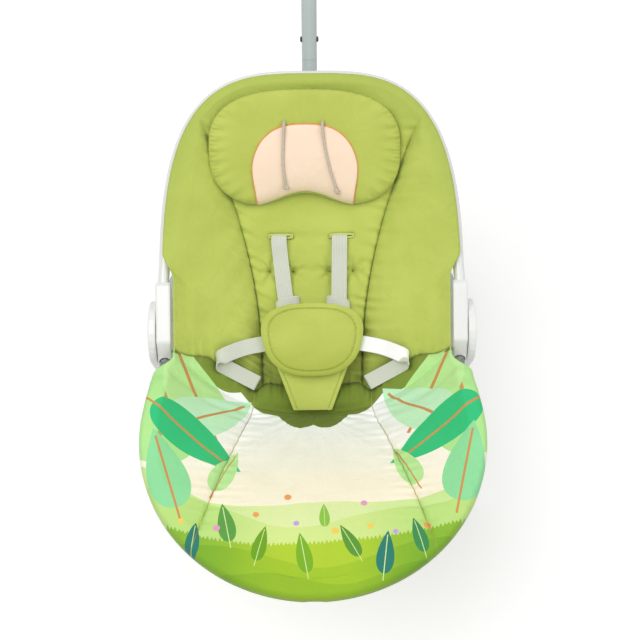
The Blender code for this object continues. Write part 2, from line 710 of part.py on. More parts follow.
def back_pad_surface(t, x, detail=1.0):
    """Upper face of the back pad at slope station t and place x, as (x, s, n) in the back's frame."""
    b = BACK_LENGTH - PAD_EDGE_INSET
    wide = superellipse_width(np.maximum(t, 0), BACK_HALF_WIDTH - TUBE_INSIDE, BACK_LENGTH - TUBE_INSIDE,
                              BACK_POWER)
    wide = np.where(t > BACK_LENGTH - TUBE_INSIDE, 0, np.minimum(wide, back_pad_width(t)))
    down = (b - t) / (b + SEAM_AT)
    start = (b - BACK_LENGTH + TUBE_INSIDE) / (b + SEAM_AT)
    mid_n = PAD_EDGE_RISE - hollow_depth(down - start)
    mid_s = b + (CREASE[0] - b) * down
    g = bowl(x, wide)
    inset = np.minimum(superellipse_inset(x, np.maximum(t, 0), BACK_HALF_WIDTH - PAD_EDGE_INSET, b,
                                          BACK_POWER), np.maximum(back_pad_width(t) - np.abs(x), 0))
    round_off = np.sqrt(np.clip(1 - (1 - np.clip(inset / 0.006, 0, 1)) ** 2, 0, 1))
    fall = (1 - round_off) * PAD_EDGE_THICK / 2
    sewn = detail * WING_GROOVE * groove(x, back_seam(t)) * ease(inset, 0.010, 0.030)
    s = t + (mid_s - t) * g
    n = PAD_EDGE_RISE + (mid_n - PAD_EDGE_RISE) * g - fall - sewn
    for up, spread in TUFTS:
        away = ((np.abs(x) - spread) ** 2 + (s - up) ** 2) / TUFT_REACH ** 2
        n = n - detail * TUFT_DEPTH * np.exp(-away)
    depth = (PAD_EDGE_RISE - mid_n) * g
    thick = PAD_EDGE_THICK - fall + (PAD_THICK - PAD_EDGE_THICK) * np.clip(depth / DEEP_ENOUGH, 0, 1)
    return s, n, thick


def slope_grid(x, s, n):
    """World points of arrays given in the back's own frame."""
    grid = np.zeros(x.shape + (3,))
    grid[..., 0] = x
    grid[..., 1] = RING.y + UP_SLOPE.y * s + OFF_SLOPE.y * n
    grid[..., 2] = RING.z + UP_SLOPE.z * s + OFF_SLOPE.z * n
    return grid


def seat_pad_back():
    """Padded green back with side wings, sewn centre panel, tufts and two harness slots."""
    b = BACK_LENGTH - PAD_EDGE_INSET
    rows = 15
    start = BACK_LENGTH - TUBE_INSIDE
    lower = -SEAM_AT + (start + SEAM_AT) * np.cos(np.linspace(0, math.pi / 2, rows))
    t = np.concatenate([[b - 0.0003, b - 0.002, b - 0.005], lower])
    x = columns(back_pad_width(t), back_seam(t), np.full(len(t), BACK_BAND))
    stations = np.repeat(t[:, None], x.shape[1], axis=1)
    s, n, thick = back_pad_surface(stations, x)
    body = slab("seat_pad_back", slope_grid(x, s, n), slope_grid(x, s, n - thick), GREEN)
    for sign in (-1, 1):
        at = pad_point(sign * SLOT_SPACING / 2, SLOT_UP, 0)
        outline = rounded_box(SLOT_WIDTH, SLOT_HEIGHT, SLOT_HEIGHT / 2 - 0.0002, 2)
        place = frame_at(at, OFF_SLOPE)
        carve(body, prism(f"cut_slot_{sign:+d}", outline, -SLOT_DEPTH, 0.03, place, GREEN))
    return body


def pad_station(x, s):
    """Station t whose surface point at x lies s up the slope."""
    low, high = -SEAM_AT, BACK_LENGTH - PAD_EDGE_INSET
    for _ in range(30):
        middle = (low + high) / 2
        here = back_pad_surface(np.array([middle]), np.array([float(x)]), 0.0)[0][0]
        low, high = (middle, high) if here < s else (low, middle)
    return (low + high) / 2


def pad_height(x, s):
    t = pad_station(x, s)
    return float(back_pad_surface(np.array([t]), np.array([float(x)]), 0.0)[1][0])


def pad_point(x, s, lift):
    """World point at x and s, lift above the back pad along the back's normal."""
    return on_slope(x, s, pad_height(x, s) + lift)


def leg_pad_width(y):
    """Half-width of the leg pad at y forward of the hub axis: passes the hubs, then a superellipse."""
    full = superellipse_width(np.maximum(y - LEG_CENTRE, 0), LEG_HALF_WIDTH, LEG_REACH - LEG_CENTRE,
                              LEG_POWER)
    neck = PAD_HIP_HALF_WIDTH + 0.0235 * ease(y, 0.040, 0.066) + 0.0102 * ease(y, 0.055, 0.150)
    return np.minimum(full, neck)


def seat_pad_leg():
    """Printed leg panel: from the seat crease over the knee roll and down round the front tube."""
    rim = on_slope(0, -SEAM_AT, PAD_EDGE_RISE) - RING
    rim_y, rim_z = rim.y, rim.z
    middle = on_slope(0, CREASE[0], PAD_EDGE_RISE - float(hollow_depth(0.96))) - RING
    b = LEG_REACH
    front = [b - LEG_BAND, b - 0.014, b - 0.0075, b - 0.0045, b - 0.002, b - 0.0003]
    rows = 12
    spread = np.sin(np.linspace(0, math.pi / 2, rows))
    y = np.concatenate([-rim_y + (front[0] + rim_y) * spread, front[1:]])
    share = (y - y[0]) / (y[rows - 1] - y[0])
    wide = leg_pad_width(y)
    seam = CENTRE_SEAM + LEG_SEAM_FLARE * np.clip(share, 0, 1)
    x = columns(wide, seam, np.full(len(y), LEG_BAND))
    back_x = columns(np.array([PAD_HIP_HALF_WIDTH]), np.array([CENTRE_SEAM]), np.array([BACK_BAND]))
    mix = ease(share, 0.0, 0.13)[:, None]
    x = back_x * (1 - mix) + x * mix
    yy = np.repeat(y[:, None], x.shape[1], axis=1)
    inner = superellipse_width(np.maximum(yy - LEG_CENTRE, 0), LEG_HALF_WIDTH - LEG_BAND,
                               LEG_REACH - LEG_CENTRE - LEG_BAND, LEG_POWER)
    inner = np.where(yy > front[0] - 1e-6, 0, np.minimum(inner, wide[:, None] - LEG_BAND * mix))
    g = bowl(x, inner)
    f = np.clip(share, 0, 1.2)[:, None]
    mid_y = -middle.y + (front[0] + middle.y) * np.minimum(f, 1) + np.maximum(yy - front[0], 0)
    climb = np.sin(np.minimum(f / 0.92, 1) * math.pi / 2) ** 1.15
    knee = middle.z + (PAD_EDGE_RISE - 0.004 - middle.z) * climb
    edge = rim_z + (PAD_EDGE_RISE - rim_z) * ease(yy, 0.034, 0.105)
    inset = np.minimum(superellipse_inset(x, np.maximum(yy - LEG_CENTRE, 0), LEG_HALF_WIDTH,
                                          LEG_REACH - LEG_CENTRE, LEG_POWER), wide[:, None] - np.abs(x))
    inset = np.maximum(inset, 0)
    round_off = np.sqrt(np.clip(1 - (1 - np.clip(inset / 0.0075, 0, 1)) ** 2, 0, 1))
    fall = (1 - round_off) * 0.011 * mix
    sewn = 0.003 * groove(x, seam[:, None]) * ease(inset, 0.010, 0.030) * mix
    top = np.zeros(x.shape + (3,))
    top[..., 0] = x
    top[..., 1] = -(yy + (mid_y - yy) * g)
    top[..., 2] = edge + (knee - edge) * g - fall - sewn
    deep = np.clip((edge - knee) * g / DEEP_ENOUGH, 0, 1)
    thick = PAD_EDGE_THICK - 0.35 * fall + (PAD_THICK - PAD_EDGE_THICK) * deep
    lean = ease(share, 0.0, 0.3)[:, None]
    down_y = OFF_SLOPE.y * (1 - lean)
    down_z = OFF_SLOPE.z * (1 - lean) + lean
    size = np.sqrt(down_y ** 2 + down_z ** 2)
    under = top.copy()
    under[..., 1] -= thick * down_y / size
    under[..., 2] -= thick * down_z / size
    shift = np.array([0, RING.y - 2 * GAP, RING.z])
    return slab("seat_pad_leg", top + shift, under + shift, PRINT)


def pillow_bounds(x):
    """Lower and upper edge of the bean-shaped pillow at x, up the slope."""
    tall = PILLOW_HALF_HEIGHT * (1 - np.abs(x / PILLOW_HALF_WIDTH) ** BEAN_POWER) ** (1 / BEAN_POWER)
    return PILLOW_UP - tall + PILLOW_DENT * np.exp(-(x / DENT_REACH) ** 2), PILLOW_UP + tall


def pillow_crown(x, v):
    """Thickness of the pillow at x; v runs from -1 at its lower edge to 1 at its upper edge."""
    edge = (1 - (x / PILLOW_HALF_WIDTH) ** 4) * math.cos(math.asin(v) * 0.97)
    return PILLOW_EDGE + (PILLOW_THICK - PILLOW_EDGE) * max(edge, 0) ** 0.6


def head_pillow():
    """Head pillow that follows the hollow of the back pad."""
    across = PILLOW_HALF_WIDTH * np.sin(np.linspace(-1, 1, 17) * math.pi / 2 * 0.985)
    top, under = [], []
    for x in across:
        low, high = pillow_bounds(x)
        top.append([])
        under.append([])
        for v in np.sin(np.linspace(-1, 1, 9) * math.pi / 2):
            s = (high + low) / 2 + (high - low) / 2 * v
            base = pad_height(x + PILLOW_ASIDE, s)
            under[-1].append(tuple(on_slope(x + PILLOW_ASIDE, s, base + PILLOW_LIFT)))
            top[-1].append(tuple(on_slope(x + PILLOW_ASIDE, s, base + pillow_crown(x, v))))
    return slab("head_pillow", np.array(top), np.array(under), GREEN)


def pillow_top(x, s):
    """Height of the pillow's crown over the back's plane, x from the pillow's own middle."""
    low, high = pillow_bounds(x)
    v = min(max((s - (high + low) / 2) / ((high - low) / 2), -1), 1)
    return pad_height(x + PILLOW_ASIDE, s) + pillow_crown(x, v)


def pillow_insert():
    """Peach arch sewn on the middle of the pillow."""
    top, under = [], []
    low = PILLOW_UP - PILLOW_HALF_HEIGHT + 0.012
    for k in range(13):
        x = INSERT_HALF_WIDTH * math.sin((k / 6 - 1) * math.pi / 2)
        share = abs(x / INSERT_HALF_WIDTH)
        round_off = (1 - share ** BOWL_POWER * 0.999) ** (1 / BOWL_POWER)
        arch = low + INSERT_FOOT + (INSERT_HEIGHT - INSERT_FOOT) * round_off
        foot = low + (INSERT_FOOT - 0.002) * math.exp(-(x / DENT_REACH) ** 2)
        top.append([])
        under.append([])
        for v in (j / 6 for j in range(7)):
            s = foot + (arch - foot) * v
            edge = max(math.sin(math.pi * v), 0) ** 0.5 * (1 - share ** 4) ** 0.5
            base = pillow_top(x, s) + 3 * GAP
            under[-1].append(tuple(on_slope(x + PILLOW_ASIDE, s, base)))
            rise = INSERT_EDGE + (INSERT_THICK - INSERT_EDGE) * edge
            top[-1].append(tuple(on_slope(x + PILLOW_ASIDE, s, base + rise)))
    return slab("pillow_insert", np.array(top), np.array(under), PEACH)


def strap(name, knots, faces_out, look=WEBBING, width=WEB_WIDTH, thick=WEB_THICK, steps=4):
    """Flat webbing along a curve; faces_out is the direction that each knot's broad side faces."""
    path = smooth_path(knots, steps)
    outward = smooth_path(faces_out, steps)
    rings = []
    for k, here in enumerate(path):
        along = (path[min(k + 1, len(path) - 1)] - path[max(k - 1, 0)]).normalized()
        out = (outward[k] - along * outward[k].dot(along)).normalized()
        side = along.cross(out)
        rings.append([here + side * (width / 2) * a + out * (thick / 2) * b
                      for a, b in ((1, 1), (-1, 1), (-1, -1), (1, -1))])
    return loft(name, rings, look, smooth=30.0)


def shoulder_strap(name, sign):
    """Webbing that comes out of its slot and lies down the back to the top of the flap."""
    x = SLOT_SPACING / 2
    spots = [(x, SLOT_UP + 0.0004, -0.006), (x, SLOT_UP, 0.003), (x, SLOT_UP - 0.010, 0.0058),
             (x - 0.001, 0.085, 0.0040), (x - 0.003, 0.050, 0.0060), (x - 0.005, STRAP_END_UP, 0.0120)]
    knots = [pad_point(sign * a, s, lift) for a, s, lift in spots]
    outward = [UP_SLOPE, UP_SLOPE + OFF_SLOPE * 0.6] + [OFF_SLOPE] * 4
    return strap(name, knots, outward)


def waist_strap(name, sign):
    """Slack webbing: out from the buckle, round in a loop and back under itself to the pad."""
    spots = [(BUCKLE_WIDTH / 2 + 2 * GAP, -0.020, 0.0190), (0.050, -0.022, 0.0165), (0.085, -0.028, 0.0120),
             (0.108, -0.035, 0.0135), (0.119, -0.041, 0.0095), (0.109, -0.047, 0.0045),
             (0.090, -0.054, 0.0040), (0.070, -0.061, 0.0035)]
    knots = [pad_point(sign * a, s, lift) for a, s, lift in spots]
    side = Vector((sign, 0, 0))
    outward = [OFF_SLOPE] * 4 + [side] + [-OFF_SLOPE] * 3
    return strap(name, knots, outward, steps=3)


def crotch_flap():
    """Padded egg-shaped flap over the buckle."""
    rows, cols = 9, 11
    top, under = [], []
    for j in range(cols):
        v = math.sin((j / (cols - 1) * 2 - 1) * math.pi / 2 * 0.97)
        top.append([])
        under.append([])
        s = FLAP_S + FLAP_HEIGHT / 2 * v
        wide = FLAP_HALF_WIDTH * (1 - abs(v) ** FLAP_POWER) ** (1 / FLAP_POWER) * (1 + FLAP_TAPER * v)
        for i in range(rows):
            u = math.sin((i / (rows - 1) * 2 - 1) * math.pi / 2)
            crown = (FLAP_THICK / 2 - FLAP_EDGE) * math.sqrt(max(1 - u ** 4, 0) * max(1 - v ** 4, 0))
            middle = FLAP_N - FLAP_SAG * u * u
            top[-1].append(tuple(on_slope(wide * u, s, middle + FLAP_EDGE + crown)))
            under[-1].append(tuple(on_slope(wide * u, s, middle - FLAP_EDGE - crown)))
    return slab("crotch_flap", np.array(top), np.array(under), GREEN)


def crotch_strap():
    """Tapered padded strap from the seat crease up to the buckle."""
    low = (CREASE[0] + 0.0052, PAD_EDGE_RISE - BACK_HOLLOW + 0.0072)
    high = (BUCKLE_S - BUCKLE_HEIGHT / 2 - GAP, BUCKLE_TOP_N - BUCKLE_THICK / 2 + 0.001)
    edge = [(-1, 0.3), (-0.9, 1), (0, 1.15), (0.9, 1), (1, 0.3), (1, -0.3), (0.9, -1), (0, -1.15),
            (-0.9, -1), (-1, -0.3)]
    rings = []
    for t in (k / 6 for k in range(7)):
        s, n = (a + (b - a) * t for a, b in zip(low, high))
        wide = 0.025 + 0.024 * t
        thick = 0.0016 + 0.0014 * math.sin(math.pi * t)
        rings.append([on_slope(wide * a, s, n + thick * b) for a, b in edge])
    return loft("crotch_strap", rings, GREEN)


def buckle_place():
    return frame_at(on_slope(0, BUCKLE_S, BUCKLE_TOP_N), OFF_SLOPE)


def buckle_body():
    """Moulded buckle under the flap, with the well of its release button."""
    outline = rounded_box(BUCKLE_WIDTH, BUCKLE_HEIGHT, 0.009)
    body = prism("buckle_body", outline, -BUCKLE_THICK, 0, buckle_place(), GREY)
    soften(body, 0.0016, 2, 50.0)
    depth = BUCKLE_KEY_THICK + BUCKLE_TRAVEL + 0.0002
    return carve(body, prism("cut_buckle_well", rounded_box(*BUCKLE_KEY, 0.005), -depth, 0.01, buckle_place(),
                             GREY))


def buckle_button():
    """Red release button; it ends level with the buckle's face, so the flap lies flat over it."""
    outline = rounded_box(BUCKLE_KEY[0] - 2 * RUN_GAP, BUCKLE_KEY[1] - 2 * RUN_GAP, 0.0047)
    place = buckle_place()
    body = prism("buckle_button", outline, -BUCKLE_KEY_THICK, -0.0002, place, RED, place.translation)
    return soften(body, 0.0005, 1, 50.0)


def along_pole(t):
    """A point on the pole's lower straight, t above where it passes the rim tube."""
    return POLE_AT + POLE_DIR * t


def snap_hole(name, reach=0.03):
    """Cutter across the pole for both snap buttons."""
    at = along_pole(POLE_BUTTON_UP)
    return rod(name, SNAP_R + GAP, at - Vector((reach, 0, 0)), at + Vector((reach, 0, 0)), 14, GREY)


def pole_socket():
    """Moulded socket under the rim tube that the pole is plugged into."""
    outer = POLE_R + SOCKET_WALL
    body = rod("pole_socket", outer, along_pole(SOCKET_LOW), along_pole(SOCKET_HIGH), 20, WHITE)
    outline = [(-0.011, -0.0130), (0.0062, -0.0130), (0.0062, -0.0006), (-0.011, -0.0006)]
    place = frame_at(on_slope(0, BACK_LENGTH - RIM_TUBE_R, 0), (1, 0, 0), UP_SLOPE)
    carve(body, prism("saddle_of_socket", outline, -SADDLE_HALF, SADDLE_HALF, place, WHITE), "UNION")
    rim = [on_slope(x, s, 0) for x, s in rim_outline(RIM_TUBE_R) if abs(x) < 0.12]
    carve(body, tube_cutter("cut_rim_socket", rim, RIM_TUBE_R + GAP, 12, OFF_SLOPE))
    bore = along_pole(SOCKET_LOW + 0.002), along_pole(0.1)
    return carve(body, rod("cut_pole_socket", POLE_R + GAP, *bore, 20, GREY))


def tube_cutter(name, path, radius, sides, side):
    """Solid round bar along a path."""
    rings = []
    for here, u, v in sweep_frames(path, side):
        turns = [2 * math.pi * k / sides for k in range(sides)]
        rings.append([here + u * (radius * math.cos(t)) + v * (radius * math.sin(t)) for t in turns])
    return loft(name, rings, GREY)


def pole_lower():
    """Short tube in the socket; the joint with the upper tube shows just over the rim."""
    path = [along_pole(SOCKET_LOW + 0.002 + GAP), along_pole(0), along_pole(POLE_STUB)]
    return tube("pole_lower", path, POLE_R, PAINT, sides=16, side=(1, 0, 0))


def pole_sleeve():
    """Inner sleeve that joins both tubes of the pole and holds the snap buttons."""
    path = [along_pole(-0.010), along_pole(0.030), along_pole(0.070)]
    body = tube("pole_sleeve", path, POLE_R - TUBE_WALL - GAP, STEEL, 0.0012, sides=16, side=(1, 0, 0))
    return carve(body, snap_hole("cut_snap_sleeve"))


def pole_upper():
    """Painted upper tube, bent forward over the seat above the photograph's edge."""
    corners = [along_pole(POLE_STUB + GAP), along_pole(0.150), off_hub(0, *POLE_SHOULDER),
               off_hub(0, POLE_REACH, POLE_TOP)]
    path = bent_path(corners, POLE_BEND, 4)
    path.insert(1, along_pole(0.075))
    body = tube("pole_upper", path, POLE_R, PAINT, sides=14, side=(1, 0, 0))
    return carve(body, snap_hole("cut_snap_upper"))


def pole_tip():
    """Rounded cap that plugs the upper tube."""
    end = off_hub(0, POLE_REACH, POLE_TOP)
    plug = POLE_R - TUBE_WALL - GAP
    cap = POLE_R + 0.001
    profile = [(0, -0.020), (plug, -0.020), (plug, GAP), (cap, GAP)]
    turns = [k * math.pi / 12 for k in range(6)]
    profile += [(cap * math.cos(t), 0.004 + 0.009 * math.sin(t)) for t in turns]
    profile.append((0, 0.013))
    return turned("pole_tip", profile, frame_at(end, end - off_hub(0, *POLE_SHOULDER)), 16, GREY)


def snap_button(name, sign):
    """Sprung button that locks the two tubes of the pole; it is pressed in to take them apart."""
    at = along_pole(POLE_BUTTON_UP)
    place = frame_at(at, (sign, 0, 0), POLE_DIR)
    reach = POLE_R + SNAP_PROUD
    start = SNAP_PROUD + 0.0014
    profile = [(0, start), (SNAP_R, start), (SNAP_R, reach - 0.0012), (SNAP_R * 0.72, reach - 0.0003),
               (0, reach)]
    return turned(name, profile, place, 14, SNAP, at)


# Motor housing behind and below the seat. Its outline is (y from the hub axis, z).
def tower_outline():
    hub = Vector((0, HUB_Y, 0))
    nose = [along_shaft(FACE_OUT, drop) - hub for drop in (0.048, -0.045)]
    points = [(HOUSING_FRONT, PARTING_Z - 0.02), (HOUSING_FRONT, PARTING_Z + 0.010), (0.203, 0.130)]
    points += [(p.y, p.z) for p in nose]
    return points + [PANEL_TOP, PANEL_FOOT, (HOUSING_BACK, 0.112), (HOUSING_BACK, PARTING_Z - 0.02)]


def inset_outline(outline, inset):
    """Moves every edge of a clockwise outline inwards by inset."""
    moved = []
    count = len(outline)
    for k in range(count):
        before, here, after = (Vector(outline[(k + i) % count]) for i in (-1, 0, 1))
        a, b = (here - before).normalized(), (after - here).normalized()
        normal_a, normal_b = Vector((a.y, -a.x)), Vector((b.y, -b.x))
        both = normal_a + normal_b
        moved.append(tuple(here + both * (inset / (1 + normal_a.dot(normal_b)))))
    return moved


def panel_place():
    """Frame on the sloping rear face: +Z out of the housing, +X across."""
    top, foot = (off_hub(0, y, z - RING_HEIGHT) for y, z in (PANEL_TOP, PANEL_FOOT))
    out = Vector((1, 0, 0)).cross(foot - top).normalized()
    return frame_at((top + foot) / 2, -out if out.y < 0 else out)


def button_spots():
    """Frames of the four buttons on the panel."""
    return [panel_place() @ Matrix.Translation(((k - 1.5) * BUTTON_PITCH, 0, 0)) for k in range(4)]


def button_holes(body):
    for k, spot in enumerate(button_spots()):
        ends = spot @ Vector((0, 0, -0.01)), spot @ Vector((0, 0, 0.01))
        carve(body, rod(f"cut_{body.name}_button_{k}", BUTTON_R + RUN_GAP, *ends, 16, WHITE))


def tower_hollow():
    """Inside of the upper shell, less the bearing boss and the two posts of the circuit board."""
    half = HOUSING_WIDTH / 2 - HOUSING_WALL
    place = frame_at((0, HUB_Y, 0), (1, 0, 0), (0, 1, 0))
    inner = prism("cut_tower_inside", inset_outline(tower_outline(), HOUSING_WALL), -half, half, place, WHITE)
    soften(inner, 0.008, 1, 25.0)
    boss = along_shaft(-0.058), along_shaft(FACE_OUT + 0.01)
    carve(inner, rod("boss_of_tower", BEARING_R + BOSS_WALL, *boss, 24, WHITE))
    for sign in (-1, 1):
        spot = panel_place() @ Matrix.Translation((sign * 0.069, 0, 0))
        outline = rounded_box(0.006, 0.006, 0.0028, 2)
        carve(inner, prism(f"post_of_tower_{sign:+d}", outline, -BOARD_DEPTH + GAP, 0.01, spot, WHITE))
    return inner


def grille(body):
    """Five upright slots in front of the speaker, the middle one longest."""
    back = HUB_Y + HOUSING_BACK
    for k in range(5):
        across = (k - 2) * GRILLE_PITCH
        tall = 2 * math.sqrt((SPEAKER_R - 0.003) ** 2 - across ** 2)
        place = frame_at((across, back, SPEAKER_Z), (0, 1, 0), (1, 0, 0))
        carve(body, prism(f"cut_grille_{k}", rounded_box(0.0026, tall, 0.0012, 2), -0.01, 0.01, place, WHITE))


def base_shell_upper():
    """Hollow upper shell of the motor housing, with the bearing boss moulded behind its sloping nose."""
    place = frame_at((0, HUB_Y, 0), (1, 0, 0), (0, 1, 0))
    half = HOUSING_WIDTH / 2
    body = prism("base_shell_upper", tower_outline(), -half, half, place, WHITE)
    soften(body, 0.010, 2, 25.0)
    carve(body, tower_hollow())
    seat = rounded_box(PANEL_SIZE[0] + 2 * GAP, PANEL_SIZE[1] + 2 * GAP, 0.010)
    carve(body, prism("cut_panel_seat", seat, -PANEL_SINK, 0.02, panel_place(), WHITE))
    button_holes(body)
    grille(body)
    inlet = Vector((INLET_X, HUB_Y + HOUSING_BACK, SPEAKER_Z))
    ends = inlet - Vector((0, 0.02, 0)), inlet + Vector((0, 0.02, 0))
    carve(body, rod("cut_inlet", INLET_R + GAP, *ends, 16, WHITE))
    under = [(-0.2, -0.2), (0.2, -0.2), (0.2, 0.2), (-0.2, 0.2)]
    middle = Matrix.Translation((0, HUB_Y + 0.3, 0))
    carve(body, prism("cut_parting", under, -0.1, PARTING_Z + GAP, middle, WHITE))
    bore = along_shaft(-0.080), along_shaft(FACE_OUT + 0.02)
    return carve(body, rod("cut_tower_bore", BEARING_R + GAP, *bore, 24, WHITE))


def base_shell_lower():
    """Tray of the motor housing with a sleeve on each side for the floor tubes."""
    deep = HOUSING_BACK - HOUSING_FRONT
    place = Matrix.Translation((0, HUB_Y + (HOUSING_BACK + HOUSING_FRONT) / 2, 0))
    outline = rounded_box(HOUSING_WIDTH, deep, 0.010, 2)
    body = prism("base_shell_lower", outline, HOUSING_BOTTOM, PARTING_Z, place, WHITE)
    wall = HOUSING_WALL
    inner = rounded_box(HOUSING_WIDTH - 2 * wall, deep - 2 * wall, 0.0078, 2)
    carve(body, prism("cut_tray", inner, HOUSING_BOTTOM + wall, PARTING_Z + 0.05, place, WHITE))
    for sign in (-1, 1):
        outer = floor_point(sign * (HOUSING_WIDTH / 2 - 0.001), RING_REAR)
        inner_end = floor_point(sign * (HOUSING_WIDTH / 2 - SOCKET_DEPTH), RING_REAR)
        sleeve = rod(f"socket_of_tray_{sign:+d}", RING_TUBE_R + 0.0022, inner_end, outer, 16, WHITE)
        carve(body, sleeve, "UNION")
        ends = inner_end + Vector((sign * 0.002, 0, 0)), outer + Vector((sign * 0.02, 0, 0))
        carve(body, rod(f"cut_socket_{sign:+d}", RING_TUBE_R + GAP, *ends, 16, WHITE))
    return body


def control_panel():
    outline = rounded_box(*PANEL_SIZE, 0.0097)
    body = prism("control_panel", outline, -PANEL_SINK + GAP, PANEL_THICK - PANEL_SINK, panel_place(), GREY)
    button_holes(body)
    return body


def control_button(name, place):
    top = PANEL_THICK - PANEL_SINK + BUTTON_PROUD
    foot = -BOARD_DEPTH + BUTTON_TRAVEL + 0.0008
    profile = [(0, foot), (BUTTON_R, foot), (BUTTON_R, top - 0.0008), (BUTTON_R - 0.0012, top),
               (0, top - 0.0004)]
    return turned(name, profile, place, 16, WHITE, place.translation)


def circuit_board():
    outline = rounded_box(0.146, 0.040, 0.002, 1)
    return prism("circuit_board", outline, -BOARD_DEPTH - BOARD_THICK, -BOARD_DEPTH, panel_place(), BOARD)


def coil_bracket():
    """Post on the tray's floor that carries the drive coil under the magnet."""
    hub = Vector((0, HUB_Y, 0))
    front, back = (along_shaft(COIL_T, drop) - hub for drop in (0.088, 0.052))
    floor = HOUSING_BOTTOM + HOUSING_WALL + GAP
    outline = [(front.y, floor), (back.y, floor), (back.y, back.z), (front.y, front.z)]
    place = frame_at((0, HUB_Y, 0), (1, 0, 0), (0, 1, 0))
    return soften(prism("coil_bracket", outline, -0.016, 0.016, place, GREY), 0.0015, 1)


def drive_coil():
    place = frame_at(along_shaft(COIL_T + GAP, MAGNET_REACH), SHAFT_DIR)
    profile = [(COIL_INNER, 0), (COIL_OUTER, 0), (COIL_OUTER, COIL_THICK), (COIL_INNER, COIL_THICK)]
    return turned("drive_coil", profile, place, 20, COPPER)


def speaker():
    back = HUB_Y + HOUSING_BACK - HOUSING_WALL - GAP
    place = frame_at((0, back, SPEAKER_Z), (0, -1, 0))
    profile = [(0, 0.003), (SPEAKER_R - 0.003, 0), (SPEAKER_R, 0), (SPEAKER_R, 0.003), (0.010, 0.010),
               (0.010, 0.015), (0, 0.015)]
    return turned("speaker", profile, place, 20, GREY)


def dc_inlet():
    """Round power inlet with its open well; no cord is plugged in."""
    place = frame_at((INLET_X, HUB_Y + HOUSING_BACK, SPEAKER_Z), (0, 1, 0))
    profile = [(0, -0.014), (INLET_R, -0.014), (INLET_R, -0.0005), (INLET_R - 0.001, 0), (0.003, 0),
               (0.003, -0.010), (0, -0.010)]
    return turned("dc_inlet", profile, place, 16, GREY)


def floor_point(x, y, z=RING_TUBE_Z):
    return Vector((x, HUB_Y + y, z))


def floor_tube_side(name, sign):
    start = HOUSING_WIDTH / 2 - SOCKET_DEPTH + 0.0025
    corners = [floor_point(sign * start, RING_REAR), floor_point(sign * RING_HALF_WIDTH, RING_REAR),
               floor_point(sign * RING_HALF_WIDTH, CORNER_Y + 0.004)]
    return tube(name, bent_path(corners, RING_BEND), RING_TUBE_R, PAINT, sides=12)


def front_tube_path():
    """Bow of the front tube from the right corner to the left one."""
    half = smooth_path([floor_point(x, y) for x, y in FRONT_KNOTS + ((0.0, -RING_FRONT),)], 2)
    return half + [Vector((-p.x, p.y, p.z)) for p in half[-2::-1]]


def floor_tube_front():
    return tube("floor_tube_front", front_tube_path(), RING_TUBE_R, PAINT, sides=12)


def corner_foot(name, sign):
    """Moulded clamp where a side tube meets the front tube."""
    place = Matrix.Translation(floor_point(sign * CORNER_X, CORNER_Y, 0))
    top = PAD_UNDER_TUBE + 2 * RING_TUBE_R + 0.004
    body = prism(name, rounded_box(*CORNER_SIZE, 0.013, 3), PAD_UNDER_TUBE, top, place, WHITE)
    soften(body, 0.003, 2, 50.0)
    path = front_tube_path() if sign > 0 else front_tube_path()[::-1]
    start = path[0] - (path[1] - path[0]).normalized() * RUN_GAP
    front = tube_cutter(f"cut_front_{name}", [start] + path[1:4], RING_TUBE_R + GAP, 12, (0, 0, 1))
    carve(body, front)
    end = floor_point(sign * RING_HALF_WIDTH, CORNER_Y + 0.0037)
    return carve(body, rod(f"cut_side_{name}", RING_TUBE_R + GAP, end, end + Vector((0, 0.08, 0)), 16, WHITE))


def foot_pad_front(name, sign):
    place = Matrix.Translation(floor_point(sign * CORNER_X, CORNER_Y, 0))
    outline = rounded_box(CORNER_SIZE[0] - 0.006, CORNER_SIZE[1] - 0.006, 0.011, 3)
    return prism(name, outline, 0, PAD_UNDER_TUBE - GAP, place, RUBBER)


def foot_pad_rear(name, sign):
    """Rubber saddle clipped under a side tube."""
    at = floor_point(sign * RING_HALF_WIDTH, RING_REAR - REAR_PAD_AT)
    place = Matrix.Translation((at.x, at.y, 0))
    body = prism(name, rounded_box(0.031, 0.054, 0.008, 3), 0, RING_TUBE_Z - 0.001, place, RUBBER)
    ends = at - Vector((0, 0.055, 0)), at + Vector((0, 0.055, 0))
    return carve(body, rod(f"cut_{name}", RING_TUBE_R + GAP, *ends, 16, RUBBER))


def build():
    clear_scene()
    base_shell_lower()
    base_shell_upper()
    floor_tube_front()
    control_panel()
    for use, place in zip(("power", "speed", "music", "timer"), button_spots()):
        control_button(f"button_{use}", place)
    circuit_board()
    coil_bracket()
    drive_coil()
    bearing("bearing_upper", FACE_OUT - BEARING_LENGTH - 0.002)
    bearing("bearing_lower", LOWER_BEARING)
    dc_inlet()
    speaker()
    swing_shaft()
    magnet_arm()
    drive_arm()
    arm_clamp()
    yoke_tube()
    rim_tube_back()
    seat_tube_front()
    seat_pad_back()
    seat_pad_leg()
    head_pillow()
    pillow_insert()
    crotch_flap()
    crotch_strap()
    buckle_body()
    buckle_button()
    pole_socket()
    pole_lower()
    pole_sleeve()
    pole_upper()
    pole_tip()
    for make, kind in ((floor_tube_side, "floor_tube"), (corner_foot, "corner_foot"),
                       (foot_pad_front, "foot_pad_front"), (foot_pad_rear, "foot_pad_rear"),
                       (side_arm, "side_arm"), (recline_button, "recline_button"), (hub, "hub"),
                       (pivot_pin, "pivot_pin"), (shoulder_strap, "shoulder_strap"),
                       (waist_strap, "waist_strap"), (snap_button, "snap_button")):
        for name, sign in mirrored(kind):
            make(name, sign)


build()
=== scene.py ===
"""Electric baby swing, dressed for the studio: moulded housings, painted tubes and a sewn, padded seat."""

import math

import bpy
import numpy as np
from mathutils import Matrix


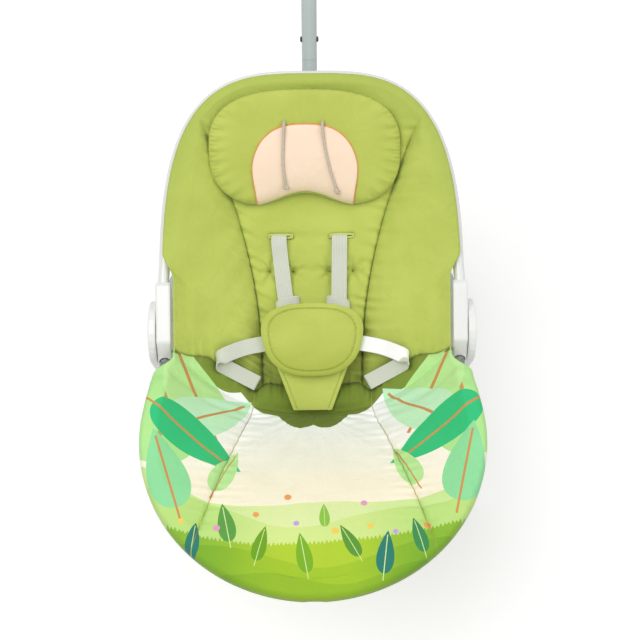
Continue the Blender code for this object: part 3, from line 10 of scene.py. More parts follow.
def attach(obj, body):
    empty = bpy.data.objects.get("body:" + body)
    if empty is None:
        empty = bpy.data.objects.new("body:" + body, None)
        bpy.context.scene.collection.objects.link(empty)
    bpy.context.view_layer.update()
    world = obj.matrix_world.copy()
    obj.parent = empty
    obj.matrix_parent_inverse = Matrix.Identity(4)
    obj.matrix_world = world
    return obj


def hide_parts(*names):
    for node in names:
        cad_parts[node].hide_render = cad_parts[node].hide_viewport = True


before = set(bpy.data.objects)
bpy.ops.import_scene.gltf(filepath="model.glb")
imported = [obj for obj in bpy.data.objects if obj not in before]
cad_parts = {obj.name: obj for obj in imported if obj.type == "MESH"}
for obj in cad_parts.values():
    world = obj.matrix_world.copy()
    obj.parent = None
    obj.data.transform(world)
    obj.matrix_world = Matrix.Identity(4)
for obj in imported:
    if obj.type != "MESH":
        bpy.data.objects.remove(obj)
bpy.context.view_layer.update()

# The camera stands at the foot end and looks down on the reclined seat, as in a catalogue picture:
# 60 degrees above the floor, 1.5 m from the line between the hubs, through a 67.5 mm lens, held half a
# degree off level.
HUB_LINE = np.array((0.0, -0.026, 0.400))
VIEW_RISE = math.radians(60.0)
VIEW_AWAY = 1.5
VIEW_ROLL = math.radians(0.55)
camera = bpy.data.objects.new("camera", bpy.data.cameras.new("camera"))
camera.data.lens = 67.5
camera.data.sensor_width = 36.0
camera.data.shift_x = 0.0125
camera.data.shift_y = 0.0078
camera.location = HUB_LINE + VIEW_AWAY * np.array((0.0, -math.cos(VIEW_RISE), math.sin(VIEW_RISE)))
turned = Matrix.Rotation(math.pi / 2 - VIEW_RISE, 3, "X") @ Matrix.Rotation(-VIEW_ROLL, 3, "Z")
camera.rotation_euler = turned.to_euler()
bpy.context.collection.objects.link(camera)
bpy.context.scene.camera = camera
bpy.context.scene.view_settings.view_transform = "Standard"


# The studio: a pale floor sheet, a white world and two large soft lamps, one on each side of the camera.
# Floor and world show white to the camera and in gloss, and the floor keeps the swing's soft shadow.
def node(tree, kind, settings, inputs):
    """Adds a shader node of that kind with its settings. Each input, by name or number, gets a value, a
    socket, or a node, which stands for its first output in use."""
    made = tree.nodes.new("ShaderNode" + kind)
    for key, value in settings.items():
        setattr(made, key, value)
    for key, value in inputs.items():
        if isinstance(value, bpy.types.Node):
            value = next(out for out in value.outputs if out.enabled)
        if isinstance(value, bpy.types.NodeSocket):
            tree.links.new(value, made.inputs[key])
        else:
            made.inputs[key].default_value = value
    return made


def reckoned(tree, value, *steps):
    """Carries a value through steps of arithmetic, each an operation and its other operands."""
    for operation, *others in steps:
        value = node(tree, "Math", {"operation": operation}, dict(enumerate((value, *others))))
    return value


def seen_rays(tree):
    """1 for the rays that show a surface itself: from the camera, in gloss or through glass."""
    path = node(tree, "LightPath", {}, {}).outputs
    return reckoned(tree, path["Is Camera Ray"], ("MAXIMUM", path["Is Glossy Ray"]),
                    ("MAXIMUM", path["Is Transmission Ray"]))


WHITE = (1.0, 1.0, 1.0, 1.0)
FILL_STRENGTH = 0.53
world = bpy.data.worlds.new("studio")
bpy.context.scene.world = world
world.use_nodes = True
sky = world.node_tree
sky.nodes.clear()
fill_light = node(sky, "Background", {}, {"Color": WHITE, "Strength": FILL_STRENGTH})
white_wall = node(sky, "Background", {}, {"Color": WHITE, "Strength": 1.0})
shown = node(sky, "MixShader", {}, {0: seen_rays(sky), 1: fill_light, 2: white_wall})
node(sky, "OutputWorld", {}, {"Surface": shown})

LAMP_WIDTH = 1.5
for name, spot, watts in (("key_lamp", (-0.7, -0.45, 2.35), 22.0), ("side_lamp", (1.3, -0.3, 2.0), 9.0)):
    lamp = bpy.data.objects.new(name, bpy.data.lights.new(name, "AREA"))
    lamp.data.shape = "DISK"
    lamp.data.size = LAMP_WIDTH
    lamp.data.energy = watts
    lamp.location = spot
    toward = HUB_LINE - np.array(spot)
    lamp.rotation_euler = (math.acos(-toward[2] / np.linalg.norm(toward)), 0.0,
                           math.atan2(toward[1], toward[0]) - math.pi / 2)
    bpy.context.collection.objects.link(lamp)


def add_map(mesh, name, uv):
    """Gives a mesh one more map, from one pair for each point in any grid of them."""
    corner = np.empty(len(mesh.loops), dtype=np.int32)
    mesh.loops.foreach_get("vertex_index", corner)
    mesh.uv_layers.new(name=name).data.foreach_set("uv", uv.reshape(-1, 2)[corner].astype(np.float32).ravel())


def fill_mesh(name, points, faces, uv=None):
    """A mesh object from an array of points and one of faces; uv holds one pair for each point."""
    mesh = bpy.data.meshes.new(name)
    mesh.from_pydata(points.tolist(), [], faces.tolist() if isinstance(faces, np.ndarray) else faces)
    mesh.shade_smooth()
    if uv is not None:
        add_map(mesh, "cloth", uv)
    made = bpy.data.objects.new(name, mesh)
    bpy.context.collection.objects.link(made)
    return made


SHEET_REACH = 4.0
PAPER = (0.86, 0.86, 0.86, 1.0)
SOFT_STEP = {"interpolation_type": "SMOOTHSTEP"}
floor = fill_mesh("floor_sheet", SHEET_REACH * np.array([(-1, -1, 0), (1, -1, 0), (1, 1, 0), (-1, 1, 0)]),
                  np.array([(0, 1, 2, 3)]))
paper = bpy.data.materials.new("pale_paper_sheet")
paper.use_nodes = True
tree = paper.node_tree
tree.nodes.clear()
dull = node(tree, "BsdfDiffuse", {}, {"Color": PAPER})
# The lamps fade toward the sheet's far edge, so the white shown there comes more and more from its glow:
# it grows from 0.34 at 0.55 m from the middle to 0.80 at 2.4 m.
where = node(tree, "TexCoord", {}, {}).outputs["Object"]
from_middle = node(tree, "VectorMath", {"operation": "LENGTH"}, {0: where})
growing = node(tree, "MapRange", SOFT_STEP, {0: from_middle, 1: 0.55, 2: 2.4, 3: 0.34, 4: 0.80})
glow = node(tree, "Emission", {}, {"Color": WHITE, "Strength": growing})
lit = node(tree, "AddShader", {}, {0: dull, 1: glow})
both = node(tree, "MixShader", {}, {0: seen_rays(tree), 1: dull, 2: lit})
node(tree, "OutputMaterial", {}, {"Surface": both})
floor.data.materials.append(paper)


# Floor ring: three bent steel tubes with a grey powder coat, plugged into two white corner feet and into
# the motor housing, on four rubber pads.
def linear(code):
    """sRGB hex to linear light: c / 12.92 up to 0.04045, above it ((c + 0.055) / 1.055) to the power 2.4."""
    part = np.array([int(code[i:i + 2], 16) for i in (0, 2, 4)]) / 255
    light = np.where(part <= 0.04045, part / 12.92, ((part + 0.055) / 1.055) ** 2.4)
    return (*light.tolist(), 1.0)


def blend(tree, under, over, share):
    """Lays one colour over another by its share. Each is a hex code or comes from a node."""
    under, over = (linear(colour) if isinstance(colour, str) else colour for colour in (under, over))
    return node(tree, "Mix", {"data_type": "RGBA"}, {0: share, 6: under, 7: over}).outputs[2]


def mottled(tree, pale, deep, patch):
    """A colour that wanders between two near shades over patches of that size in metres."""
    where = node(tree, "TexCoord", {}, {}).outputs["Object"]
    cloud = node(tree, "TexNoise", {}, {"Vector": where, "Scale": 1 / patch, "Detail": 2.0})
    return blend(tree, deep, pale, cloud)


def finish(name, inputs, shades=None, grain=None):
    """A new material with those inputs of its Principled shader. shades are the pale and the deep colour and
    the patch size of its mottling, grain the size and the depth in metres of a fine bump."""
    made = bpy.data.materials.new(name)
    made.use_nodes = True
    tree = made.node_tree
    shader = tree.nodes["Principled BSDF"]
    for key, value in inputs.items():
        shader.inputs[key].default_value = value
    if shades:
        tree.links.new(mottled(tree, *shades), shader.inputs["Base Color"])
    if grain:
        where = node(tree, "TexCoord", {}, {}).outputs["Object"]
        pits = node(tree, "TexNoise", {}, {"Vector": where, "Scale": 1 / grain[0], "Detail": 3.0})
        bump = node(tree, "Bump", {}, {"Height": pits, "Distance": grain[1], "Strength": 1.0})
        tree.links.new(bump.outputs[0], shader.inputs["Normal"])
    return made


def dress(material, *nodes):
    """Puts a finish on CAD pieces that keep their own shape."""
    for name in nodes:
        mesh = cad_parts[name].data
        mesh.materials.clear()
        mesh.materials.append(material)


# Powder coat on steel: an even grey with a slight orange peel of about 1.5 mm.
powder_coat = finish("powder_coated_steel", {"Roughness": 0.38},
                     ("bcc6c5", "aeb9b8", 0.05), (0.0015, 0.00004))
dress(powder_coat, "floor_tube_front", "floor_tube_left", "floor_tube_right")

# Injection-moulded ABS, satin from the mould: near white, a hint warmer in the thick parts.
white_abs = finish("moulded_white_abs", {"Roughness": 0.34, "Coat Weight": 0.08},
                   ("efefed", "e6e6e3", 0.04), (0.0009, 0.00002))
dress(white_abs, "corner_foot_left", "corner_foot_right", "base_shell_lower", "base_shell_upper")

# Natural rubber, dull and slightly dusty.
foot_rubber = finish("moulded_grey_rubber", {"Roughness": 0.85},
                     ("5b5f60", "46494a", 0.006), (0.0006, 0.00006))
dress(foot_rubber, "foot_pad_front_left", "foot_pad_front_right", "foot_pad_rear_left", "foot_pad_rear_right")


# Motor housing: a hollow white shell on a tray, with the swing shaft's bearings, the drive coil, the
# circuit board and the speaker inside, and a grey control panel with four round keys on its back.
# Grey ABS with a spark-eroded texture, darker and duller than the white shell.
grey_abs = finish("textured_grey_abs", {"Roughness": 0.5}, ("969c9a", "868c8a", 0.02), (0.0007, 0.00005))
dress(grey_abs, "control_panel", "coil_bracket", "dc_inlet", "speaker", "magnet_arm")
dress(white_abs, "button_power", "button_speed", "button_music", "button_timer")

# Solder mask over glass fibre: dark green with a wet gloss.
dress(finish("green_board_lacquer", {"Roughness": 0.3}, ("37784e", "275a3a", 0.004)), "circuit_board")

# Enamelled copper wire: a warm metal whose tone changes from turn to turn.
dress(finish("wound_copper_wire", {"Metallic": 1.0, "Roughness": 0.32}, ("c47d3c", "a4622a", 0.002)),
      "drive_coil")

# Turned and ground steel: bright with very fine marks round the part.
turned_steel = finish("turned_steel", {"Metallic": 1.0, "Roughness": 0.28},
                      ("b9bdc0", "a2a6a9", 0.01), (0.0004, 0.00002))
dress(turned_steel, "bearing_upper", "bearing_lower", "swing_shaft", "pivot_pin_left", "pivot_pin_right",
      "pole_sleeve")


# Swing arm: a bent tube from the shaft to a moulded clamp under the seat, and a U tube whose ends carry
# the two moulded side arms with their round recline keys.
dress(powder_coat, "drive_arm", "yoke_tube")
dress(white_abs, "arm_clamp", "side_arm_left", "side_arm_right")
dress(grey_abs, "recline_button_left", "recline_button_right")


# Seat frame: a white enamelled tube round the head end and a steel tube under the front edge, both plugged
# into white moulded hubs on pivot pins. The rim is drawn again here, finer, along the same line.
BACK_ANGLE = math.radians(30.0)
BACK_LENGTH = 0.318
BACK_HALF_WIDTH = 0.191
BACK_POWER = 3.3
RIM_R = 0.007
RIM_FOOT_X = 0.18475
ACROSS = np.array((1.0, 0.0, 0.0))
UP = np.array((0.0, math.cos(BACK_ANGLE), math.sin(BACK_ANGLE)))
OFF = np.array((0.0, -math.sin(BACK_ANGLE), math.cos(BACK_ANGLE)))


def slope_points(x, s, n):
    """World points from the back's own frame: x across, s up the slope and n off it, from the hub line."""
    x, s, n = np.broadcast_arrays(x, s, n)
    return HUB_LINE + x[..., None] * ACROSS + s[..., None] * UP + n[..., None] * OFF


def carried(path, outward, profile):
    """Carries a closed profile (side, out) along a path; out is outward made square to the path."""
    along = np.gradient(path, axis=0)
    along /= np.linalg.norm(along, axis=1, keepdims=True)
    out = outward - along * np.sum(outward * along, axis=1, keepdims=True)
    out /= np.linalg.norm(out, axis=1, keepdims=True)
    side = np.cross(along, out)
    return path[:, None] + side[:, None] * profile[..., :1] + out[:, None] * profile[..., 1:]


def closed_bar(name, rings, uv=None):
    """Skins closed rings of equal count with quads and closes each end with a fan about its centre."""
    rows, count = rings.shape[:2]
    number = np.arange(rows * count).reshape(rows, count)
    after = np.roll(number, -1, axis=1)
    sides = np.stack([number[:-1], after[:-1], after[1:], number[1:]], -1).reshape(-1, 4)
    hub_low, hub_high = rows * count, rows * count + 1
    low = np.stack([after[0], number[0], np.full(count, hub_low)], -1)
    high = np.stack([number[-1], after[-1], np.full(count, hub_high)], -1)
    points = np.vstack([rings.reshape(-1, 3), rings[0].mean(0), rings[-1].mean(0)])
    a, b, c = (points[sides[:, i]] for i in range(3))
    inward = np.sum(np.cross(b - a, c - a) * (a - points[hub_low])) < 0
    turn = -1 if inward else 1
    faces = [face[::turn] for group in (sides, low, high) for face in group.tolist()]
    if uv is not None:
        uv = np.vstack([uv.reshape(-1, 2), uv[0].mean(0), uv[-1].mean(0)])
    return fill_mesh(name, points, faces, uv)


def around(count):
    """That many angles evenly round a turn, from 0."""
    return np.linspace(0, 2 * math.pi, count, endpoint=False)


def paired(first, second):
    """Two arrays as one of pairs, each spread out to fit the other."""
    return np.stack(np.broadcast_arrays(first, second), -1)


def circle(radius, sides):
    """Points evenly round a circle: the radius times the cosine and the sine of each angle."""
    return radius * paired(np.cos(around(sides)), np.sin(around(sides)))


def rod(name, path, outward, radius, sides, uv=None):
    """A round bar along a path: a circle carried along it and closed at both ends."""
    return closed_bar(name, carried(path, outward, circle(radius, sides)), uv)


def signed_power(value, power):
    """A power that keeps the sign, which squares a circle's cosine or sine off into a rounded box."""
    return np.sign(value) * np.abs(value) ** power


def fit(piece, material, body, slot, *stands_for):
    """Gives a new piece its finish and the body it rides on, and hides the CAD nodes that it stands for. Its
    slot is not used.
    """
    piece.data.materials.append(material)
    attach(piece, body)
    if stands_for:
        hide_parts(*stands_for)


rim_turn = np.linspace(0, math.pi, 161)
rim_arch = paired(signed_power(np.cos(rim_turn), 2 / BACK_POWER) * (BACK_HALF_WIDTH - RIM_R),
                  np.abs(np.sin(rim_turn)) ** (2 / BACK_POWER) * (BACK_LENGTH - RIM_R))
rim_arch = rim_arch[rim_arch[:, 1] > 0.075]
rim_leg = np.array([(RIM_FOOT_X, s) for s in (0.016, 0.030, 0.046, 0.060)])
rim_line = np.vstack([rim_leg, rim_arch, rim_leg[::-1] * (-1, 1)])
rim_path = slope_points(rim_line[:, 0], rim_line[:, 1], 0.0)
rim = rod("white_rim_tube", rim_path, OFF, RIM_R, 20)
# Stoved white enamel: smooth and glossier than the plastic.
rim_enamel = finish("stoved_white_enamel", {"Roughness": 0.22, "Coat Weight": 0.3},
                    ("e9eae7", "dddfda", 0.06))
fit(rim, rim_enamel, "seat", "white_paint", "rim_tube_back")
dress(white_abs, "hub_left", "hub_right")
dress(turned_steel, "seat_tube_front")


# Signs on the keys, in grey pad-printed ink: a ring with a bar, three rising bars, a note and a clock. A
# lamp shows through a green lens over each key, and two screws hold each corner foot.
PANEL_MIDDLE = np.array((0.0, 0.349, 0.2315))
PANEL_OUT = np.array((0.0, 0.9366, 0.3503))
PANEL_UP = np.array((0.0, -0.3503, 0.9366))
PANEL_TOP_FACE = 0.0018
KEY_PITCH = 0.036
KEY_TOP = 0.0043
STROKE_WIDTH = 0.0009
STROKE_THICK = 0.00025


def flat_strokes(name, lines, middle):
    """One mesh of flat bars, each carried along a line of (right, up) on the sloping panel, as it is read."""
    box = np.array(((-0.5, 0), (0.5, 0), (0.5, 1), (-0.5, 1))) * (STROKE_WIDTH, STROKE_THICK)
    points, faces, count = [], [], 0
    for line in lines:
        line = np.asarray(line, float)
        path = middle - line[:, :1] * ACROSS + line[:, 1:] * PANEL_UP
        number = count + np.arange(len(path) * 4).reshape(-1, 4)
        after = np.roll(number, -1, axis=1)
        walls = np.stack([number[:-1], after[:-1], after[1:], number[1:]], -1).reshape(-1, 4)
        faces += walls[:, ::-1].tolist() + [number[0].tolist(), number[-1, ::-1].tolist()]
        points.append(carried(path, PANEL_OUT, box).reshape(-1, 3))
        count += len(path) * 4
    return fill_mesh(name, np.vstack(points), faces)


def arc(radius, start, end, count=28):
    """Points on a circle from start to end, in degrees from the +across axis."""
    turn = np.radians(np.linspace(start, end, count))
    return radius * paired(np.cos(turn), np.sin(turn))


# Pad-printed ink: a thin dull film. The lens is clear-coated and glossy.
key_ink = finish("grey_pad_printing_ink", {"Roughness": 0.6}, ("6f7674", "626967", 0.002))
green_lens = finish("green_lamp_lens", {"Roughness": 0.15, "Coat Weight": 0.4}, ("6fd06a", "4fb755", 0.001))
SIGNS = {"power": (arc(0.0036, 125, 415), ((0, 0.0012), (0, 0.0042))),
         "speed": (((-0.003, -0.003), (-0.003, -0.0008)), ((0, -0.003), (0, 0.0012)),
                   ((0.003, -0.003), (0.003, 0.0034))),
         "music": (arc(0.0011, 0, 345) + (-0.001, -0.0026), ((0.0003, -0.0024), (0.0003, 0.0036)),
                   ((0.0003, 0.0034), (0.0020, 0.0026), (0.0026, 0.0010))),
         "timer": (arc(0.0037, 0, 355), ((0, 0.0024), (0, 0), (0.0018, -0.0010)))}
LENS_RISE = ((0.0016, -0.0004), (0.0016, 0.0004), (0.0011, 0.0009), (0.0004, 0.0011))
LENS_UP = 0.0155
lens_turn = around(16)[:, None]
for place, (key, lines) in enumerate(SIGNS.items()):
    middle = PANEL_MIDDLE + (place - 1.5) * KEY_PITCH * ACROSS
    sign = flat_strokes(f"key_sign_{key}", lines, middle + PANEL_OUT * (KEY_TOP - 0.0001))
    fit(sign, key_ink, f"key_{key}", "grey_plastic")
    rings = [middle + PANEL_UP * LENS_UP + PANEL_OUT * (PANEL_TOP_FACE + up)
             + r * (np.cos(lens_turn) * ACROSS + np.sin(lens_turn) * PANEL_UP) for r, up in LENS_RISE]
    fit(closed_bar(f"lamp_lens_{key}", np.stack(rings)), green_lens, "base", "grey_plastic")

# Steps of a screw's head from its rim to the foot of its hexagon socket: radius, height, and 1 in the socket.
SCREW_STEPS = ((0.0034, -0.0006, 0), (0.0034, 0.0006, 0), (0.0028, 0.0013, 0), (0.0019, 0.0015, 0),
               (0.0014, 0.0014, 1), (0.0014, 0.0002, 1))
FOOT_X = 0.2225
FOOT_TOP = 0.035
SIDES = (("left", -1), ("right", 1))
screw_turn = around(24)
hexed = 1 / np.cos((screw_turn + math.pi / 6) % (math.pi / 3) - math.pi / 6)
for side, sign in SIDES:
    for end, at_y in (("front", -0.106), ("rear", -0.070)):
        rings = [np.stack([sign * FOOT_X + r * np.cos(screw_turn) * (hexed if six else 1),
                           at_y + r * np.sin(screw_turn) * (hexed if six else 1),
                           np.full(24, FOOT_TOP + up)], -1) for r, up, six in SCREW_STEPS]
        fit(closed_bar(f"foot_screw_{side}_{end}", np.stack(rings)), turned_steel, "base", "steel")


# Pole: a painted tube of two lengths on an inner sleeve, plugged into a moulded socket behind the rim. Its
# joint and two dark sprung buttons show just over the rim, and it bends forward over the seat.
dress(powder_coat, "pole_lower", "pole_upper")
dress(white_abs, "pole_socket")
dress(grey_abs, "pole_tip")
# Blackened spring steel: dark, half dull.
black_steel = finish("blackened_spring_steel", {"Metallic": 0.6, "Roughness": 0.42},
                     ("4a5152", "333839", 0.003))
dress(black_steel, "snap_button_left", "snap_button_right")


# Back pad: green polyester over wadding, with puffed side wings sewn on along two curved seams, a flat
# centre panel with four tufts and two bound slots for the harness.
GAP = 0.0003
EDGE_INSET = 0.005
PAD_THICK = 0.018
EDGE_THICK = 0.008
HIP_HALF_WIDTH = 0.172
SEAM_AT = 0.030
CREASE_Y = -0.070
CREASE_DROP = 0.110
BACK_HOLLOW = 0.080
HOLLOW_RATE = 0.22
BOWL_POWER = 2.6
CENTRE_SEAM = 0.065
QUILTING_START = 0.0765
SEAM_FLARE = 1.2
STATION_RUN = 1.25
NOTCH_X = 0.077
NOTCH_REACH = 0.011
NOTCH_DROP = 0.0125
CORNER_DROP = 0.024
SLOT_X = 0.0395
SLOT_UP = 0.115
LIP_ROUND = 0.011
EDGE_ROUND = 0.006
FULL_DEPTH = 0.030
WING_PUFF = 0.0075
FOOT_ROLL = 0.0030
EDGE_SINK = 0.0026
SLOT_HALF_LENGTH = 0.0135
SLOT_HALF_HEIGHT = 0.0024
SLOT_PIT = 0.0080
TUFTS = ((0.070, 0.054), (0.070, 0.024))
TUFT_PIT = 0.0090
TUFT_DIMPLE = 0.0034
TUFT_FOLDS = 0.0016
BACK_SIDE = BACK_HALF_WIDTH - EDGE_INSET
BACK_TOP = BACK_LENGTH - EDGE_INSET
EDGE_RISE = RIM_R + 3 * GAP + EDGE_THICK
TUBE_INSIDE = 2 * RIM_R + 4 * GAP
CREASE_S = CREASE_Y * math.cos(BACK_ANGLE) - CREASE_DROP * math.sin(BACK_ANGLE)


def ease(value, low, high):
    """0 at low and 1 at high, with level ends: 3 t squared less 2 t cubed."""
    t = np.clip((value - low) / (high - low), 0.0, 1.0)
    return t * t * (3 - 2 * t)


def bell(value, reach):
    """1 at 0 and dying out on both sides: e to the power of minus the square of value over reach."""
    return np.exp(-(value / reach) ** 2)


def halved(low, high, steps, falls_short):
    """Closes in on a border between low and high by halving; falls_short tells which values lie below it."""
    for _ in range(steps):
        middle = (low + high) / 2
        short = falls_short(middle)
        low, high = np.where(short, middle, low), np.where(short, high, middle)
    return low, high


def oval_width(y, a, b, power):
    """Half-width at y of the oval (x / a) ** power + (y / b) ** power = 1."""
    return a * np.clip(1 - np.clip(np.abs(y) / b, 0, 1) ** power, 0, 1) ** (1 / power)


def oval_inset(x, y, a, b, power):
    """How far inside that oval each point lies: the length off a and b at which the oval meets it."""
    def still_inside(m):
        """Whether x over a - m and y over b - m, each to the power, add up to less than 1."""
        return (np.abs(x) / (a - m)) ** power + (np.abs(y) / (b - m)) ** power < 1.0
    return halved(np.zeros_like(x), np.full_like(x, min(a, b) * 0.999), 20, still_inside)[0]


def back_width(t):
    """Half-width of the back pad at station t: the oval, drawn in beside the hubs."""
    hips = HIP_HALF_WIDTH + (BACK_SIDE - HIP_HALF_WIDTH) * ease(t, 0.058, 0.095)
    return np.minimum(oval_width(np.maximum(t, 0), BACK_SIDE, BACK_TOP, BACK_POWER), hips)


def back_inset(t, x):
    """How far inside the back pad's outline a point lies: the nearer of the oval and the side."""
    return np.minimum(oval_inset(x, np.maximum(t, 0), BACK_SIDE, BACK_TOP, BACK_POWER),
                      np.maximum(back_width(t) - np.abs(x), 0))


def back_seam(t):
    """Distance of a wing's seam from the middle at station t: it flares out with the height squared."""
    return CENTRE_SEAM + SEAM_FLARE * np.maximum(t - 0.012, 0) ** 2


def foot_seam(x):
    """Station of the seam across the pad's foot: level in the middle, notched where the leg pad's quilting
    seams start and falling to the corner at each hub. The leg pad's print covers what lies below it."""
    out = np.abs(x)
    notch = NOTCH_DROP * bell(out - NOTCH_X, NOTCH_REACH)
    return -0.0015 - notch - CORNER_DROP * ease(out, 0.128, HIP_HALF_WIDTH)


def back_hollow(t):
    """At station t, the hollow's half-width, an oval inside the tube, and the height of its middle, which
    sinks toward 80 mm by 1 less e to minus its way down over 0.22."""
    wide = oval_width(np.maximum(t, 0), BACK_HALF_WIDTH - TUBE_INSIDE, BACK_LENGTH - TUBE_INSIDE, BACK_POWER)
    wide = np.where(t > BACK_LENGTH - TUBE_INSIDE, 0, np.minimum(wide, back_width(t)))
    way = (BACK_TOP - t) / (BACK_TOP + SEAM_AT) - (TUBE_INSIDE - EDGE_INSET) / (BACK_TOP + SEAM_AT)
    return wide, EDGE_RISE - BACK_HOLLOW * (1 - np.exp(-np.maximum(way, 0) / HOLLOW_RATE))


def rounded_off(inset, reach):
    """A quarter circle over the outermost reach of a pad: 1 at its edge, 0 from the reach inward."""
    return 1 - np.sqrt(np.clip(1 - (1 - np.clip(inset / reach, 0, 1)) ** 2, 0, 1))


def back_surface(t, x):
    """Smooth upper face of the back pad: (s, n, thickness). The middle of each row sinks into the hollow, and
    the rest follows as 1 less the share of the width to the power 2.6."""
    wide, mid_n = back_hollow(t)
    share = np.clip(np.abs(x) / np.maximum(wide, 1e-6), 0, 1)
    g = np.where(wide > 1e-4, 1 - share ** BOWL_POWER, 0.0)
    fall = rounded_off(back_inset(t, x), EDGE_ROUND) * EDGE_THICK / 2
    down = (BACK_TOP - t) / (BACK_TOP + SEAM_AT)
    s = t + (BACK_TOP + (CREASE_S - BACK_TOP) * down - t) * g
    n = EDGE_RISE + (mid_n - EDGE_RISE) * g - fall
    depth = (EDGE_RISE - mid_n) * g
    return s, n, EDGE_THICK - fall + (PAD_THICK - EDGE_THICK) * np.clip(depth / FULL_DEPTH, 0, 1)


def puckers(run, away, pitch, reach):
    """Short folds square to a seam: an uneven wave along the seam, and one 0.61 times as long at half its
    height, that die out away from it as e to minus the distance over the reach."""
    wave = np.sin(2 * math.pi * run / pitch + 1.9 * np.sin(run * 61.0))
    wave = wave + 0.5 * np.sin(run * 2 * math.pi / (pitch * 0.61) + 1.0)
    return wave * np.exp(-np.abs(away) / reach)


def seam_dip(away, nick, nick_reach, dip, dip_reach):
    """Depth of a sewn seam: a sharp nick, e to minus the distance over its reach, in a broad bell."""
    return nick * np.exp(-np.abs(away) / nick_reach) + dip * bell(away, dip_reach)


def back_relief(t, x):
    """What sewing adds to the smooth back pad, off the slope, in metres. It fades over 9 mm at the crease."""
    s, out = back_surface(t, x)[0], np.abs(x)
    wide, mid_n = back_hollow(t)
    inset = back_inset(t, x)
    inner = ease(inset, 0.004, 0.028)
    off_seam = out - back_seam(t)
    off_foot = STATION_RUN * (t - foot_seam(x))
    above = ease(off_foot, 0.0, 0.006)
    # Wadding rounds the corner where the lip over the tube turns down into the hollow. It is lowered by
    # slope / 4R times the square of R less the distance from the lip, which meets both faces smoothly.
    slope = BOWL_POWER * (EDGE_RISE - mid_n) / np.maximum(wide, 0.05)
    from_lip = np.maximum(LIP_ROUND - np.abs(wide - out), 0)
    up = -slope / (4 * LIP_ROUND) * from_lip ** 2 * ease(inset, 0.0, EDGE_ROUND) * ease(0.29 - t, 0.0, 0.06)
    # The wings are puffed, and their seams are gathered, more so toward the foot.
    wing = np.clip(off_seam / np.maximum(back_width(t) - back_seam(t), 0.02), 0, 1)
    gathered = (0.0017 + 0.0010 * ease(0.11 - t, 0.0, 0.07)) * puckers(t + 0.3 * x, off_seam, 0.0135, 0.014)
    up += inner * WING_PUFF * np.sin(math.pi * wing) ** 0.8 * ease(off_foot, 0.0, 0.040)
    up += inner * above * (gathered - seam_dip(off_seam, 0.0066, 0.0020, 0.0030, 0.013))
    # The foot seam, and below it the first roll of the leg pad's print with its two quilting seams.
    off_quilt = out - QUILTING_START
    roll = np.sin(math.pi * np.clip(-off_foot / 0.034, 0, 1))
    up -= inner * (1 - above) * 0.0050 * np.exp(-np.abs(off_quilt) / 0.0020)
    up -= ease(inset, 0.001, 0.012) * seam_dip(off_foot, 0.0058, 0.0020, 0.0026, 0.010)
    up += inner * 0.0014 * puckers(x * 1.3, off_foot, 0.0150, 0.013)
    up += inner * FOOT_ROLL * roll * (0.4 + 0.6 * np.abs(np.sin(off_quilt * 30)))
    # The edge is gathered onto its binding, and sinks where it turns over the tube.
    up += 0.0008 * puckers(np.arctan2(t - 0.05, x) * 0.19, inset, 0.016, 0.012) * ease(inset, 0.0, EDGE_ROUND)
    up -= EDGE_SINK * (1 - ease(inset, 0.0, 0.024)) * ease(t, 0.05, 0.12)
    # Each tuft is a pit in a dimple with six short folds round it, and a groove joins the four.
    for at, spread in TUFTS:
        far = np.hypot(out - spread, s - at)
        up -= TUFT_PIT * bell(far, 0.0040) + TUFT_DIMPLE * bell(far, 0.016)
        up += TUFT_FOLDS * np.sin(6 * np.arctan2(s - at, out - spread)) * bell(far - 0.011, 0.008)
    up -= 0.0016 * bell(s - TUFTS[0][0], 0.0035) * ease(0.054 - out, 0.0, 0.010)
    # A slot is a long pit, in a groove that joins the two.
    slot = np.maximum(np.abs(out - SLOT_X) - SLOT_HALF_LENGTH, 0) ** 2 + (s - SLOT_UP) ** 2
    up -= SLOT_PIT * bell(slot, SLOT_HALF_HEIGHT ** 2)
    up -= 0.0020 * bell(s - SLOT_UP, 0.007) * ease(0.062 - out, 0.0, 0.012)
    # Loose cloth lies in shallow waves, and the wings in folds that slant down to the seams.
    waves = np.sin(41 * x + 33 * s + 2 * np.sin(23 * s)) + np.sin(57 * s - 29 * x + 1.7 * np.sin(31 * x))
    folds = np.sin(165 * s + 70 * out + 3 * np.sin(37 * x)) * np.exp(-np.abs(off_seam) / 0.03)
    up += inner * (0.0010 * waves + 0.0009 * folds * ease(np.abs(off_seam), 0.0, 0.02))
    return up * ease(t, -SEAM_AT, 0.009 - SEAM_AT)


def closed_sheet(name, top, under, uv):
    """A closed pad from its upper and under grids, joined by a wall round their common outline."""
    rows, cols = top.shape[:2]
    number = np.arange(rows * cols).reshape(rows, cols)
    quads = np.stack([number[:-1, :-1], number[:-1, 1:], number[1:, 1:], number[1:, :-1]], -1).reshape(-1, 4)
    rim_of = np.concatenate([number[0, :-1], number[:-1, -1], number[-1, :0:-1], number[:0:-1, 0]])
    step = np.roll(rim_of, -1)
    wall = np.stack([step, rim_of, rim_of + rows * cols, step + rows * cols], -1)
    faces = np.vstack([quads, quads[:, ::-1] + rows * cols, wall])
    points = np.vstack([top.reshape(-1, 3), under.reshape(-1, 3)])
    a, b, c, d = (points[faces[:, i]] for i in range(4))
    volume = np.sum(np.cross(a, b) * c) + np.sum(np.cross(a, c) * d)
    return fill_mesh(name, points, faces if volume > 0 else faces[:, ::-1], np.vstack([uv, uv]))


# Brushed polyester: a soft dull face with a faint sheen at glancing angles and a fine plain weave. Threads
# are 0.35 mm apart; they are drawn 1.4 mm apart so that they show at this size. A wave of scale 1 is 0.314 m.
THREADS_APART = 0.0014
WAVE_LENGTH = 0.314


